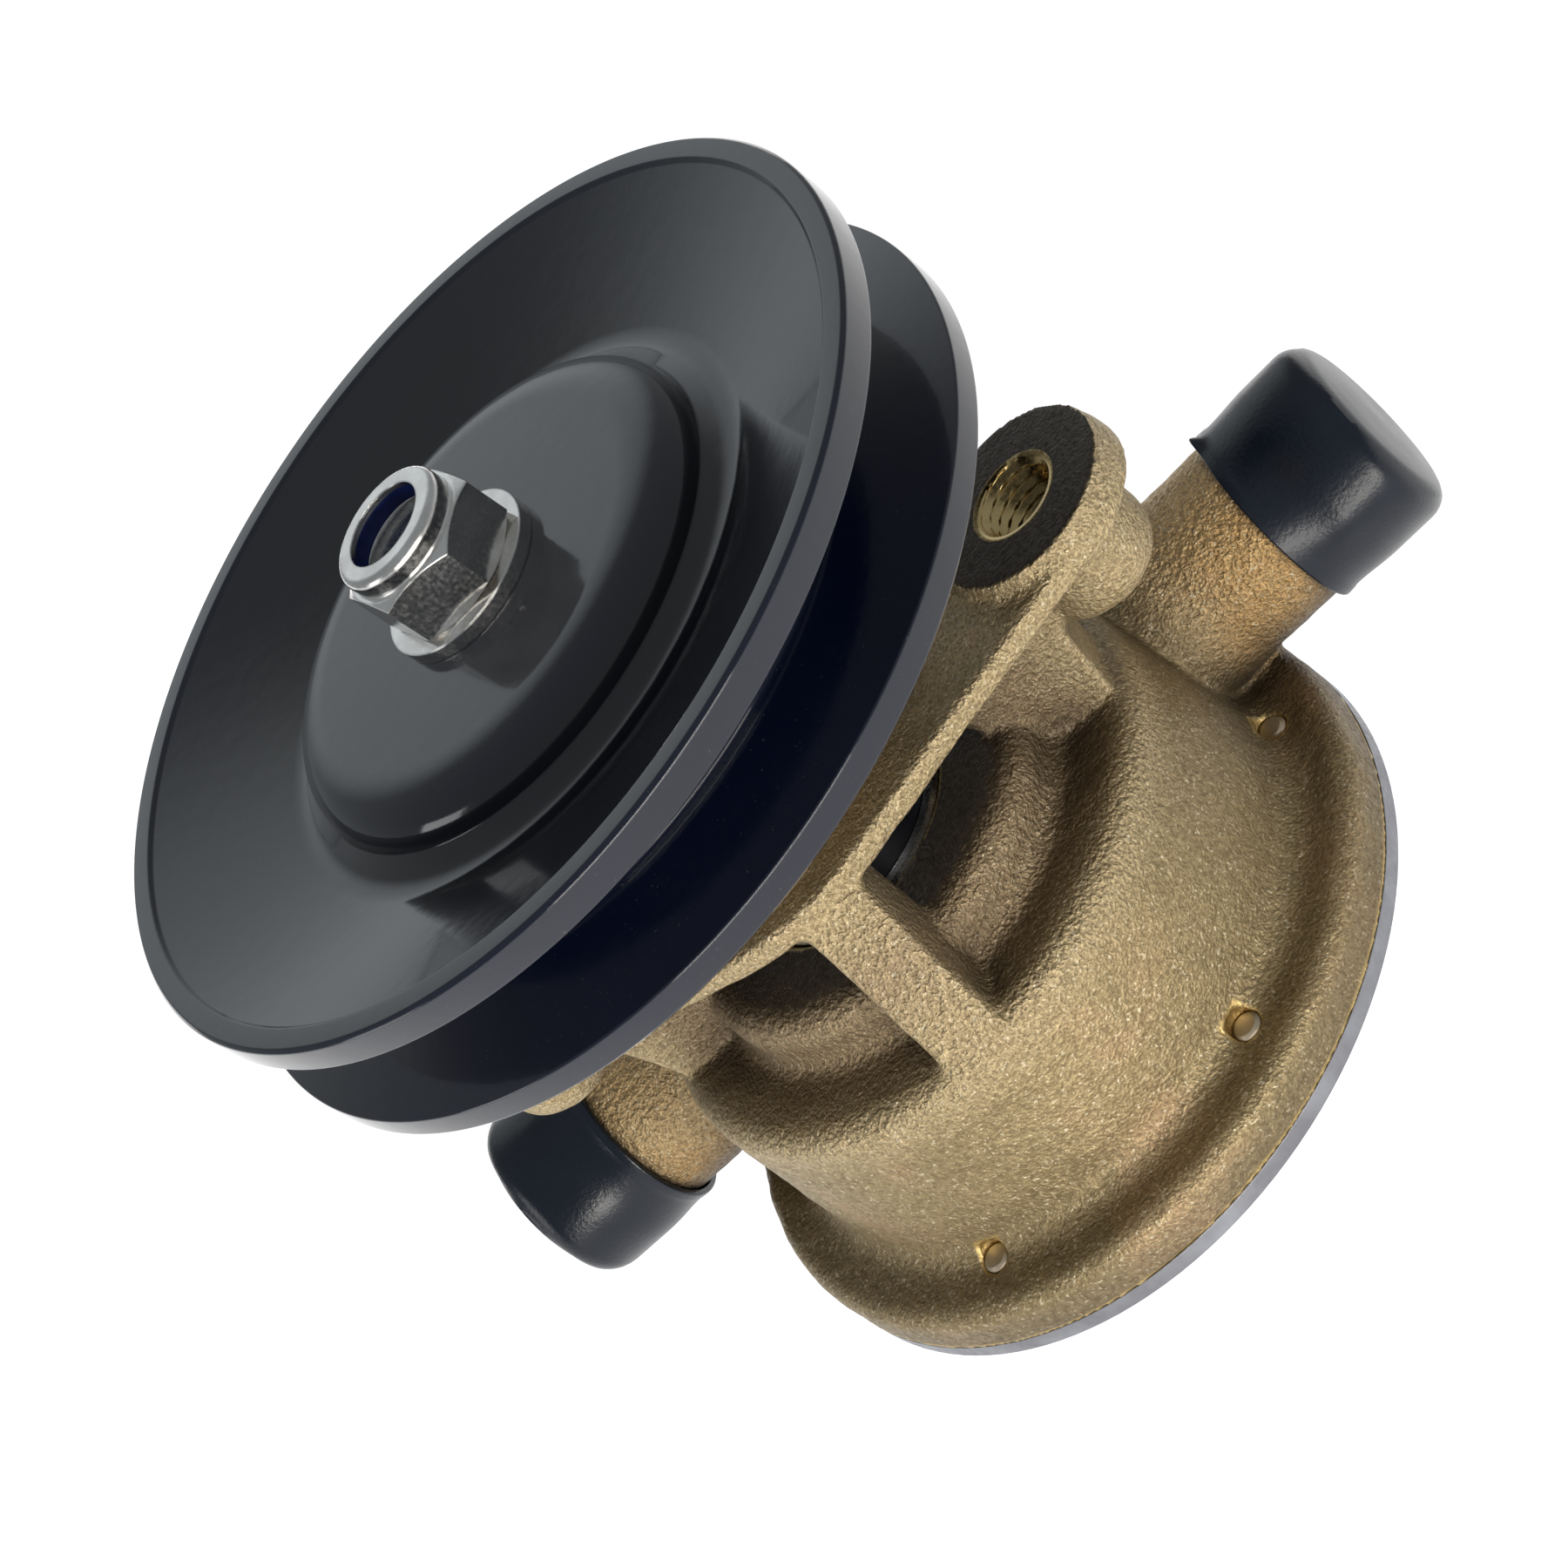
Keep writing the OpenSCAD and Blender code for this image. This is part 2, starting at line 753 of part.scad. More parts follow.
module shaft() {
    low_z = z_flange + shaft_low_gap;
    step_z = z_chamber - wear_t - impeller_seat_gap;
    top_z = z_nut_top - thread_end_drop;
    color("#b3b6ba")
    difference() {
        rotate_extrude()
            polygon([
                [0, low_z],
                [impeller_seat_d / 2 - shaft_chamfer, low_z],
                [impeller_seat_d / 2, low_z + shaft_chamfer],
                [impeller_seat_d / 2, step_z],
                [shaft_r, step_z],
                [shaft_r, z_pulley_hub],
                [pulley_seat_d / 2, z_pulley_hub],
                [pulley_seat_d / 2, z_plateau - seat_relief],
                [thread_d / 2, z_plateau - seat_relief],
                [thread_d / 2, top_z - shaft_chamfer],
                [thread_d / 2 - shaft_chamfer, top_z],
                [0, top_z]]);
        ring(z_rear_bearing - shaft_circlip_t - fit_gap, shaft_circlip_t + fit_gap, shaft_r + cut,
            shaft_r - shaft_circlip_depth);
        pulley_key_space(fit_gap);
        impeller_key_space(fit_gap);
    }
}

// Open spring ring that stops the rear bearing on the shaft
module shaft_circlip() {
    inner_r = shaft_r - shaft_circlip_depth + fit_gap;
    color("#3c3f44")
    translate([0, 0, z_rear_bearing - shaft_circlip_t])
        linear_extrude(shaft_circlip_t - fit_gap)
            difference() {
                circle(r = inner_r + shaft_circlip_w);
                circle(r = inner_r);
                mouth(shaft_circlip_mouth_angle, 2 * bearing_r);
            }
}

module bearing_spacer() {
    color("#6d7176")
    ring(z_boss, z_front_bearing - z_boss, shaft_r + bearing_spacer_t, shaft_r + fit_gap);
}

// Rubber ring that throws off drips before they reach the front bearing
module slinger() {
    inner_r = shaft_r + bearing_spacer_t + fit_gap;
    color("#1e1f22")
    translate([0, 0, z_boss + slinger_rise])
        rotate_extrude()
            polygon([
                [inner_r, 0], [inner_r, slinger_root_t], [inner_r + slinger_edge_t, slinger_root_t],
                [slinger_od / 2, slinger_edge_t], [slinger_od / 2, 0]]);
}

module hub_spacer() {
    color("#6d7176")
    ring(z_bearing_top, hub_spacer_l, shaft_r + hub_spacer_t, shaft_r + fit_gap);
}

// Turned steel hub, welded behind the middle of the pulley's front half
module pulley_hub() {
    color("#26292e")
    difference() {
        union() {
            disc(z_pulley_hub, z_plateau_back - z_pulley_hub, pulley_hub_d / 2);
            disc(z_plateau_back - pulley_hub_flange_t, pulley_hub_flange_t, pulley_hub_flange_d / 2);
        }
        disc(z_pulley_hub - cut, z_plateau_back - z_pulley_hub + 2 * cut, pulley_seat_d / 2 + fit_gap);
        pulley_key_space(fit_gap);
    }
}

// Drop of a groove wall between the pulley's edge and the groove's floor, and of the halves' joint
groove_wall_h = groove_depth * tan(groove_angle / 2);
seam_drop = front_lip_w + groove_w / 2;

// Front half: flat plateau, rounded shoulder, valley and sloping wall out to the rim
module pulley_front_half() {
    wall_r = plateau_r + shoulder_w;
    land_r = pulley_r - rim_land_w;
    shoulder_low = -plateau_drop - shoulder_h;
    back_r = wall_r - sheet_t;
    back_low = shoulder_low - sheet_t;
    color("#23262c")
    difference() {
        translate([0, 0, z_rim])
            rotate_extrude()
                polygon(concat(
                    [[0, -plateau_drop]],
                    oval(plateau_r, shoulder_low, shoulder_w, shoulder_h, 90, 0),
                    oval(valley_r, shoulder_low, valley_w, valley_depth + shoulder_low, 180, 270),
                    [[land_r - rim_land_step, -rim_land_step], [land_r, 0], [pulley_r - lip_edge, 0],
                        [pulley_r, -lip_edge], [pulley_r, -front_lip_w],
                        [groove_floor_r, -front_lip_w - groove_wall_h], [groove_floor_r, -seam_drop]],
                    oval(valley_r, back_low, valley_r - back_r, seam_drop + back_low, 270, 180),
                    oval(plateau_r, back_low, back_r - plateau_r, -back_low - plateau_drop - sheet_t, 0, 90),
                    [[0, -plateau_drop - sheet_t]]));
        disc(z_plateau_back - cut, sheet_t + 2 * cut, pulley_seat_d / 2 + fit_gap);
    }
}

// Rear half: sloping wall and a flat ring that is welded to the front half
module pulley_rear_half() {
    width = front_lip_w + groove_w + rear_lip_w;
    slope = tan(groove_angle / 2);
    ring_low = -seam_drop - sheet_t;
    bend_r = groove_floor_r - rear_bend;
    land_r = pulley_r - rim_land_w;
    color("#23262c")
    translate([0, 0, z_rim])
        rotate_extrude()
            polygon([
                [weld_ring_r, -seam_drop],
                [groove_floor_r, -seam_drop],
                [groove_floor_r, -front_lip_w - groove_w + groove_wall_h],
                [pulley_r, -front_lip_w - groove_w],
                [pulley_r, -width + lip_edge],
                [pulley_r - lip_edge, -width],
                [land_r, -width],
                [bend_r, -width + (land_r - bend_r) * slope],
                [bend_r - rear_bend, ring_low],
                [weld_ring_r, ring_low]]);
}

module pulley_key() { color("#8d9196") pulley_key_space(0); }
module impeller_key() { color("#8d9196") impeller_key_space(0); }

module pulley_washer() {
    color("#c8cbce")
    ring(z_plateau, washer_t, washer_d / 2, thread_d / 2 + washer_hole_gap);
}

// Hexagon with chamfered corners and a round collar that holds the nylon ring
module lock_nut() {
    corner_r = nut_af / 2 / cos(30);
    flat_r = nut_af / 2;
    bevel = (corner_r - flat_r) * tan(nut_chamfer_angle);
    collar_r = nut_collar_d / 2;
    color("#d2d4d6")
    translate([0, 0, z_washer_top])
        difference() {
            union() {
                intersection() {
                    cylinder(h = nut_hex_h, r = corner_r, $fn = 6);
                    rotate_extrude()
                        polygon([
                            [0, 0], [flat_r, 0], [corner_r, bevel], [corner_r, nut_hex_h - bevel],
                            [flat_r, nut_hex_h], [0, nut_hex_h]]);
                }
                rotate_extrude()
                    polygon(concat(
                        [[0, nut_hex_h - bevel], [collar_r, nut_hex_h - bevel]],
                        arc(collar_r - nut_collar_round, nut_h - nut_collar_round, nut_collar_round, 0, 90),
                        [[0, nut_h]]));
            }
            disc(-cut, nut_h + 2 * cut, thread_d / 2 + thread_gap);
            disc(nut_h - nylon_drop - nylon_h, nylon_h, nylon_od / 2);
        }
}

module nylon_insert() {
    color("#1d2f86")
    ring(z_nut_top - nylon_drop - nylon_h, nylon_h, nylon_od / 2 - fit_gap, thread_d / 2 + thread_gap);
}

module impeller_bush() {
    color("#c7a352")
    difference() {
        ring(z_flange + impeller_gap, chamber_depth - wear_t - 2 * impeller_gap, bush_d / 2,
            impeller_seat_d / 2 + bush_gap);
        impeller_key_space(fit_gap);
    }
}

// Farthest that a vane's tip may stand out at an angle, clear of the chamber's wall and of the cam
function tip_r(angle) =
    let (reach = vane_bead_d / 2 + vane_wall_gap, rise = sin(angle),
        cam_sag = cam_face_r - sqrt(cam_face_r * cam_face_r - cam_half_w * cam_half_w))
    rise <= 0 ? chamber_r - reach : min(chamber_r - reach, (chamber_r - cam_h - cam_sag - reach) / rise);

// A vane trails its root, the more so where the cam presses on it
function vane_bend(angle) =
    vane_trail + vane_squeeze * max(0, 1 - abs(angle - vane_trail - 90) / cam_reach_angle);

// Middle line of a vane, from its root in the hub to its tip
function vane_line(angle) =
    let (root_r = (impeller_hub_d - vane_root_t) / 2, bend = vane_bend(angle), end_r = tip_r(angle - bend))
    [for (i = [0:vane_steps])
        let (share = i / vane_steps, a = angle - bend * share * share, r = root_r + (end_r - root_r) * share)
        r * [cos(a), sin(a)]];

function vane_half_t(i) = (vane_root_t + (vane_t - vane_root_t) * i / vane_steps) / 2;

// One vane with the round bead along its tip
module vane(angle, h) {
    line = vane_line(angle);
    steps = [for (i = [0:vane_steps])
        let (d = line[min(i + 1, vane_steps)] - line[max(i - 1, 0)])
        vane_half_t(i) * [-d.y, d.x] / norm(d)];
    linear_extrude(h)
        polygon(concat(
            [for (i = [0:vane_steps]) line[i] + steps[i]],
            [for (i = [vane_steps:-1:0]) line[i] - steps[i]]));
    translate(line[vane_steps]) cylinder(h = h, d = vane_bead_d);
}

// Rubber impeller on its bush, drawn with the vanes as they stand at rest
module impeller() {
    length = chamber_depth - wear_t - 2 * impeller_gap;
    color("#202124")
    translate([0, 0, z_flange + impeller_gap])
        difference() {
            union() {
                cylinder(h = length, d = impeller_hub_d);
                for (i = [0:vane_count - 1]) vane(i * 360 / vane_count, length);
            }
            disc(-cut, length + 2 * cut, bush_d / 2 + fit_gap);
        }
}

// Soft cap, open towards the pump
module port_cap(side) {
    inner_r = port_r + sliding_gap;
    start = port_reach - cap_grip;
    end = port_reach + sliding_gap + cap_end_t;
    waist = start + cap_waist_share * cap_grip;
    mouth_r = inner_r + cap_mouth_t;
    waist_r = inner_r + cap_waist_t;
    bulge_r = inner_r + cap_bulge_t;
    swell = (bulge_r - waist_r) / 2;
    slope_end = end - cap_corner;
    at_port(side)
        rotate_extrude()
            polygon(concat(
                [[inner_r, start], [mouth_r, start], [mouth_r, start + cap_lip_l]],
                [for (i = [0:arc_steps])
                    let (share = i / arc_steps)
                    [waist_r + swell - swell * cos(180 * share), waist + (slope_end - waist) * share]],
                arc(bulge_r - cap_corner, end - cap_corner, cap_corner, 0, 90),
                [[0, end], [0, port_reach + sliding_gap], [inner_r, port_reach + sliding_gap]]));
}

module right_port_cap() { color("#23272f") port_cap(1); }
module left_port_cap() { color("#23272f") port_cap(-1); }

pump_body();
cover_plate();
cover_o_ring();
cover_screws();
wear_plate();
cam();
cam_screw();
seal_case();
seal_lip();
seal_spring();
rear_bearing_outer_ring();
rear_bearing_shields();
front_bearing_outer_ring();
front_bearing_shields();
bearing_circlip();
shaft();
rear_bearing_inner_ring();
front_bearing_inner_ring();
shaft_circlip();
bearing_spacer();
slinger();
hub_spacer();
pulley_hub();
pulley_front_half();
pulley_rear_half();
pulley_key();
pulley_washer();
lock_nut();
nylon_insert();
impeller_bush();
impeller_key();
impeller();
rear_bearing_cage();
rear_bearing_balls();
front_bearing_cage();
front_bearing_balls();
right_port_cap();
left_port_cap();
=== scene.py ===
import math

import bmesh
import bpy
import numpy as np
from mathutils import Matrix, Vector


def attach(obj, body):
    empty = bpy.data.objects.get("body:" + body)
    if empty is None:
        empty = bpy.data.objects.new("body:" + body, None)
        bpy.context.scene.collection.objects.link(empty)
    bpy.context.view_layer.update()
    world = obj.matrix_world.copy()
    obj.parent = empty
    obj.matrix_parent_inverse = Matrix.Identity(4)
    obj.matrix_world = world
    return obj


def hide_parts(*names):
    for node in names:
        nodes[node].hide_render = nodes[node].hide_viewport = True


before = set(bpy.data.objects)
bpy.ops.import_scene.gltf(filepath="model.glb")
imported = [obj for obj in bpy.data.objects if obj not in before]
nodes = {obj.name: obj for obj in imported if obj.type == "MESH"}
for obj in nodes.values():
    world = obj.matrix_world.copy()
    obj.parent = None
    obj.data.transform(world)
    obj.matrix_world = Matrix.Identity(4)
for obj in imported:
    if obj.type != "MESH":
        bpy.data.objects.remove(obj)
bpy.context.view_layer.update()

# The camera looks down on the pulley from the front, a little from the right. It is rolled to one side,
# so that the shaft leans to the upper left of the picture.
scene = bpy.context.scene
SENSOR_MM, LENS_MM = 36, 90.33
CAMERA_PLACE = Matrix((
    (0.6880, 0.6453, 0.3321, 0.2023),
    (-0.1961, 0.6058, -0.7711, -0.4675),
    (-0.6988, 0.4654, 0.5433, 0.4035),
    (0, 0, 0, 1)))
camera = bpy.data.objects.new("camera", bpy.data.cameras.new("camera"))
scene.collection.objects.link(camera)
camera.data.sensor_width = SENSOR_MM
camera.data.lens = LENS_MM
camera.matrix_world = CAMERA_PLACE
scene.camera = camera
scene.view_settings.view_transform = "Standard"


# The floor is a plain pale sheet of studio board, laid flat under the screw heads. It shows white, also
# where the pump mirrors it, and throws the lamps' light back up.
def add_node(tree, kind, settings=None, **values):
    """A shader node with its settings, and with values on its sockets."""
    node = tree.nodes.new(kind)
    for key, value in (settings or {}).items():
        setattr(node, key, value)
    for key, value in values.items():
        node.inputs[key.replace("_", " ")].default_value = value
    return node


def join(tree, *pairs):
    """Links sockets of a node tree, each pair from an output to an input."""
    for out_socket, in_socket in pairs:
        tree.links.new(out_socket, in_socket)


def shown_rays(tree):
    """1 for the rays that show the background itself or its mirror image, else 0."""
    path = add_node(tree, "ShaderNodeLightPath")
    seen = add_node(tree, "ShaderNodeMath", {"operation": "MAXIMUM"})
    seen_too = add_node(tree, "ShaderNodeMath", {"operation": "MAXIMUM"})
    join(tree,
         (path.outputs["Is Camera Ray"], seen.inputs[0]),
         (path.outputs["Is Glossy Ray"], seen.inputs[1]),
         (seen.outputs[0], seen_too.inputs[0]),
         (path.outputs["Is Transmission Ray"], seen_too.inputs[1]))
    return seen_too.outputs[0]


FLOOR_HALF = 5
FLOOR_COLOUR = (0.80, 0.80, 0.80, 1)
FLOOR_GLOW = 0.93
sheet = bpy.data.meshes.new("floor")
corners = ((-1, -1), (1, -1), (1, 1), (-1, 1))
sheet.from_pydata([(x * FLOOR_HALF, y * FLOOR_HALF, 0) for x, y in corners], [], [(0, 1, 2, 3)])
floor = bpy.data.objects.new("floor", sheet)
scene.collection.objects.link(floor)
floor_mat = bpy.data.materials.new("floor")
floor_mat.use_nodes = True
tree = floor_mat.node_tree
tree.nodes.remove(tree.nodes["Principled BSDF"])
matt = add_node(tree, "ShaderNodeBsdfDiffuse", Color=FLOOR_COLOUR)
glow = add_node(tree, "ShaderNodeEmission")
glow_level = add_node(tree, "ShaderNodeMath", {"operation": "MULTIPLY"})
glow_level.inputs[1].default_value = FLOOR_GLOW
both = add_node(tree, "ShaderNodeAddShader")
join(tree,
     (shown_rays(tree), glow_level.inputs[0]),
     (glow_level.outputs[0], glow.inputs["Strength"]),
     (matt.outputs[0], both.inputs[0]),
     (glow.outputs[0], both.inputs[1]),
     (both.outputs[0], tree.nodes["Material Output"].inputs["Surface"]))
sheet.materials.append(floor_mat)

# The studio is a dim room with one pale wall behind the pump. Black paint and bright metal mirror that
# wall. The room itself lights evenly and weakly, and shows white.
ROOM_LIGHT = 0.05
ROOM_TINT = (0.95, 0.97, 1, 1)
WALL_TINT = (0.90, 0.96, 1, 1)
WALL_WAY = Vector((-0.2, 0.85, 0.47)).normalized()
WALL_EDGE_COS, WALL_MIDDLE_COS = 0.84, 0.985
FAR_LIGHT, WALL_LIGHT = 0.29, 0.74
world = bpy.data.worlds.new("room")
scene.world = world
world.use_nodes = True
tree = world.node_tree
even = tree.nodes["Background"]
even.inputs["Color"].default_value = ROOM_TINT
even.inputs["Strength"].default_value = ROOM_LIGHT
mirrored = add_node(tree, "ShaderNodeBackground", Color=WALL_TINT)
white = add_node(tree, "ShaderNodeBackground", Color=(1, 1, 1, 1), Strength=1)
direction = add_node(tree, "ShaderNodeTexCoord")
towards = add_node(tree, "ShaderNodeVectorMath", {"operation": "DOT_PRODUCT"})
towards.inputs[1].default_value = WALL_WAY
wall = add_node(tree, "ShaderNodeMapRange", {"interpolation_type": "SMOOTHSTEP"},
                From_Min=WALL_EDGE_COS, From_Max=WALL_MIDDLE_COS, To_Min=FAR_LIGHT, To_Max=WALL_LIGHT)
path = add_node(tree, "ShaderNodeLightPath")
mirror_mix = add_node(tree, "ShaderNodeMixShader")
camera_mix = add_node(tree, "ShaderNodeMixShader")
join(tree,
     (direction.outputs["Generated"], towards.inputs[0]),
     (towards.outputs["Value"], wall.inputs["Value"]),
     (wall.outputs[0], mirrored.inputs["Strength"]),
     (path.outputs["Is Glossy Ray"], mirror_mix.inputs[0]),
     (even.outputs[0], mirror_mix.inputs[1]),
     (mirrored.outputs[0], mirror_mix.inputs[2]),
     (path.outputs["Is Camera Ray"], camera_mix.inputs[0]),
     (mirror_mix.outputs[0], camera_mix.inputs[1]),
     (white.outputs[0], camera_mix.inputs[2]),
     (camera_mix.outputs[0], tree.nodes["World Output"].inputs["Surface"]))


# Three soft boxes on stands light the pump. The long one stands low in front, and two weak ones fill the
# shadows from the left and from behind. No surface mirrors the one behind.
PUMP_MIDDLE = (0, 0, 0.06)
WARM_WHITE, PLAIN_WHITE = (1, 0.96, 0.90), (1, 1, 1)


def soft_box(name, place, width, length, watts, colour=PLAIN_WHITE):
    """A large area lamp on a stand, turned towards the middle of the pump."""
    lamp = bpy.data.lights.new(name, "AREA")
    lamp.shape = "RECTANGLE"
    lamp.size, lamp.size_y = width, length
    lamp.energy = watts
    lamp.color = colour
    stand = bpy.data.objects.new(name, lamp)
    scene.collection.objects.link(stand)
    stand.location = place
    stand.rotation_euler = (Vector(place) - Vector(PUMP_MIDDLE)).to_track_quat("Z", "Y").to_euler()
    return stand


soft_box("front_lamp", place=(0.20, -1.38, 0.17), width=1.5, length=0.30, watts=17.5, colour=WARM_WHITE)
soft_box("left_lamp", place=(-1.3, -0.5, 0.4), width=0.5, length=0.6, watts=2)
back_lamp = soft_box("back_lamp", place=(-0.5, 1.35, 0.32), width=0.9, length=0.4, watts=8)
back_lamp.visible_glossy = False


# Grain: a cloudy mask of one size, counted in grains per metre. All finishes use it for spots, fine
# grain and uneven gloss.
def new_group(name, inputs, outputs):
    """A shader node group with named sockets, each given as (name, kind, start value)."""
    group = bpy.data.node_groups.new(name, "ShaderNodeTree")
    for label, kind, start in inputs:
        socket = group.interface.new_socket(label, in_out="INPUT", socket_type=kind)
        socket.default_value = start
    for label, kind in outputs:
        group.interface.new_socket(label, in_out="OUTPUT", socket_type=kind)
    return group, add_node(group, "NodeGroupInput"), add_node(group, "NodeGroupOutput")


FLOAT, VECTOR = "NodeSocketFloat", "NodeSocketVector"
grain_group, inside, outside = new_group(
    "grain",
    [("Scale", FLOAT, 400.0), ("Detail", FLOAT, 3.0), ("Low", FLOAT, 0.35), ("High", FLOAT, 0.65)],
    [("Mask", FLOAT)])
where = add_node(grain_group, "ShaderNodeTexCoord")
cloud = add_node(grain_group, "ShaderNodeTexNoise")
spread = add_node(grain_group, "ShaderNodeMapRange")
join(grain_group,
     (where.outputs["Object"], cloud.inputs["Vector"]),
     (inside.outputs["Scale"], cloud.inputs["Scale"]),
     (inside.outputs["Detail"], cloud.inputs["Detail"]),
     (cloud.outputs["Fac"], spread.inputs["Value"]),
     (inside.outputs["Low"], spread.inputs["From Min"]),
     (inside.outputs["High"], spread.inputs["From Max"]),
     (spread.outputs[0], outside.inputs["Mask"]))

# Edge wear: sharp edges of painted and plated pieces rub bare first. The group gives a mask along them
# and their normal, broken by a small radius.
wear_group, inside, outside = new_group(
    "edge_wear",
    [("Radius", FLOAT, 0.0005), ("Amount", FLOAT, 4.0), ("Breakup", FLOAT, 700.0)],
    [("Mask", FLOAT), ("Normal", VECTOR)])
soft = add_node(wear_group, "ShaderNodeBevel", {"samples": 4})
real = add_node(wear_group, "ShaderNodeNewGeometry")
facing = add_node(wear_group, "ShaderNodeVectorMath", {"operation": "DOT_PRODUCT"})
turned = add_node(wear_group, "ShaderNodeMath", {"operation": "SUBTRACT"})
turned.inputs[0].default_value = 1
strong = add_node(wear_group, "ShaderNodeMath", {"operation": "MULTIPLY"})
patchy = add_node(wear_group, "ShaderNodeTexNoise", Detail=4)
where = add_node(wear_group, "ShaderNodeTexCoord")
worn = add_node(wear_group, "ShaderNodeMath", {"operation": "MULTIPLY", "use_clamp": True})
join(wear_group,
     (inside.outputs["Radius"], soft.inputs["Radius"]),
     (soft.outputs[0], facing.inputs[0]),
     (real.outputs["Normal"], facing.inputs[1]),
     (facing.outputs["Value"], turned.inputs[1]),
     (turned.outputs[0], strong.inputs[0]),
     (inside.outputs["Amount"], strong.inputs[1]),
     (where.outputs["Object"], patchy.inputs["Vector"]),
     (inside.outputs["Breakup"], patchy.inputs["Scale"]),
     (strong.outputs[0], worn.inputs[0]),
     (patchy.outputs["Fac"], worn.inputs[1]),
     (worn.outputs[0], outside.inputs["Mask"]),
     (soft.outputs[0], outside.inputs["Normal"]))


# Pump casting: one sand casting of bronze with the flange, the chamber, the bearing boss, four posts and
# the ear plate. Its skin is rough and uneven with soft edges. The ears' pads are machined, and their
# colour is painted dark as shade; the bores and the threaded holes are bright.
MM = 0.001


def place_group(tree, group, **values):
    """A node that uses a shader node group, with values on its sockets."""
    node = tree.nodes.new("ShaderNodeGroup")
    node.node_tree = group
    for key, value in values.items():
        node.inputs[key].default_value = value
    return node


def new_material(name, colour, metallic, roughness):
    """A material with its node tree and its main shader."""
    mat = bpy.data.materials.new(name)
    mat.use_nodes = True
    shader = mat.node_tree.nodes["Principled BSDF"]
    shader.inputs["Base Color"].default_value = (*colour, 1)
    shader.inputs["Metallic"].default_value = metallic
    shader.inputs["Roughness"].default_value = roughness
    return mat, mat.node_tree, shader


def blend(tree, factor, low, high):
    """A colour between two, by a factor. Each may be a colour or a socket."""
    mix = add_node(tree, "ShaderNodeMix", {"data_type": "RGBA"})
    for value, socket in ((low, mix.inputs[6]), (high, mix.inputs[7])):
        if isinstance(value, tuple):
            socket.default_value = (*value, 1)
        else:
            join(tree, (value, socket))
    join(tree, (factor, mix.inputs[0]))
    return mix.outputs[2]


def ranged(tree, factor, low, high):
    """A number between two, by a factor."""
    span = add_node(tree, "ShaderNodeMapRange", To_Min=low, To_Max=high)
    join(tree, (factor, span.inputs["Value"]))
    return span.outputs[0]


# Millimetres and degrees. The casting's heights count from the floor, as in CAD
GRID = 0.55
SOFTEN_ROUNDS, SOFTEN_SHARE = 9, 0.62
SKIN_WAVES = ((11, 0.22, 3), (4.5, 0.13, 5), (1.7, 0.07, 8))
EAR_X, EAR_LOW, EAR_HOLE_R = 60, 60, 7.2
PAD_Z, PAD_R, PAD_DEPTH = 83.9, 15.9, 0.4
THREAD_MINOR, THREAD_MAJOR, THREAD_PITCH, THREAD_LOW = 6.0, 7.0, 2.0, 66.2
DRILLED_R, THREAD_ROOM = 6.9, 0.35
BEARING_SEAT_R, BEARING_SEAT_LOW = 21.2, 41
CHAMBER_R, CHAMBER_TOP, FLANGE_FACE_TOP = 45.6, 40, 6.4
SCREW_CIRCLE_R, SCREW_FIRST, SCREW_COUNT = 54.3, 3, 6
SCREW_HOLE_R, SCREW_HOLE_TOP = 2.95, 18.6
PORT_Y, PORT_Z, PORT_TURN = 25.5, 27.5, 1.8
PORT_BORE_R, PORT_BORE_START, NIPPLE_END = 12.3, 40, 91.4
NIPPLE_ROOT, NIPPLE_RAMP, NIPPLE_REACH = 50, 8, 20
CRUST_AND_LIGHT_LOW, CRUST_AND_LIGHT_RAMP = 40, 6
ROOF_R, ROOF_R_RAMP, ROOF_LOW, ROOF_LOW_RAMP, ROOF_TOP, ROOF_TOP_RAMP = 47, 5, 43, 4, 74, 8
DULL_SKIN, WARM_SKIN = (0.28, 0.212, 0.104), (0.38, 0.292, 0.15)
BLUSH, ORANGE, ROOF_PATINA_AND_SHADE = (0.54, 0.355, 0.20), (0.86, 0.52, 0.20), (0.38, 0.25, 0.17)
CRUST_PAINTED_LIGHT, GRIT_DARK, SAND_PALE = (0.84, 0.67, 0.40), (0.24, 0.175, 0.085), (0.70, 0.54, 0.29)
RIDGE_WEAR_AND_HIGHLIGHT, GLINT_PALE, PAINTED_SHADE_DARK = (0.84, 0.68, 0.42), (0.95, 0.84, 0.60), (0.035, 0.026, 0.018)
PAD_SHADE_DARK, PAD_SHADE_PALE = (0.06, 0.046, 0.034), (0.10, 0.08, 0.058)
CUT_DARK, CUT_PALE = (0.55, 0.40, 0.16), (0.70, 0.53, 0.25)
PAINTED_LIGHT_COVER, ROOF_PATINA_AND_SHADE_COVER, SAND_COVER, GLINT_COVER = 0.62, 0.6, 0.4, 0.6
SKIN_METAL, SKIN_ROUGH = 0.5, (0.58, 0.36)


def lattice_noise(points, cell, seed):
    """Smooth noise from -1 to 1 at many points at once, in cells of one size."""
    size = 24
    heights = np.random.RandomState(seed).rand(size, size, size) * 2 - 1
    base = np.floor(points / cell).astype(int)
    part = points / cell - base
    part = part * part * (3 - 2 * part)
    total = np.zeros(len(points))
    for corner in range(8):
        step = np.array([corner & 1, corner >> 1 & 1, corner >> 2])
        x, y, z = ((base + step) % size).T
        total += np.prod(np.where(step, part, 1 - part), axis=1) * heights[x, y, z]
    return total


def points_of(mesh):
    """All points of a mesh, in millimetres."""
    flat = np.empty(len(mesh.vertices) * 3)
    mesh.vertices.foreach_get("co", flat)
    return flat.reshape(-1, 3) / MM


def put_points(mesh, points):
    """Moves the points of a mesh to places in millimetres."""
    mesh.vertices.foreach_set("co", (points * MM).reshape(-1))
    mesh.update()


def ramp(values, width):
    """Values from 0 up to a width become 0 to 1."""
    return np.clip(values / width, 0, 1)


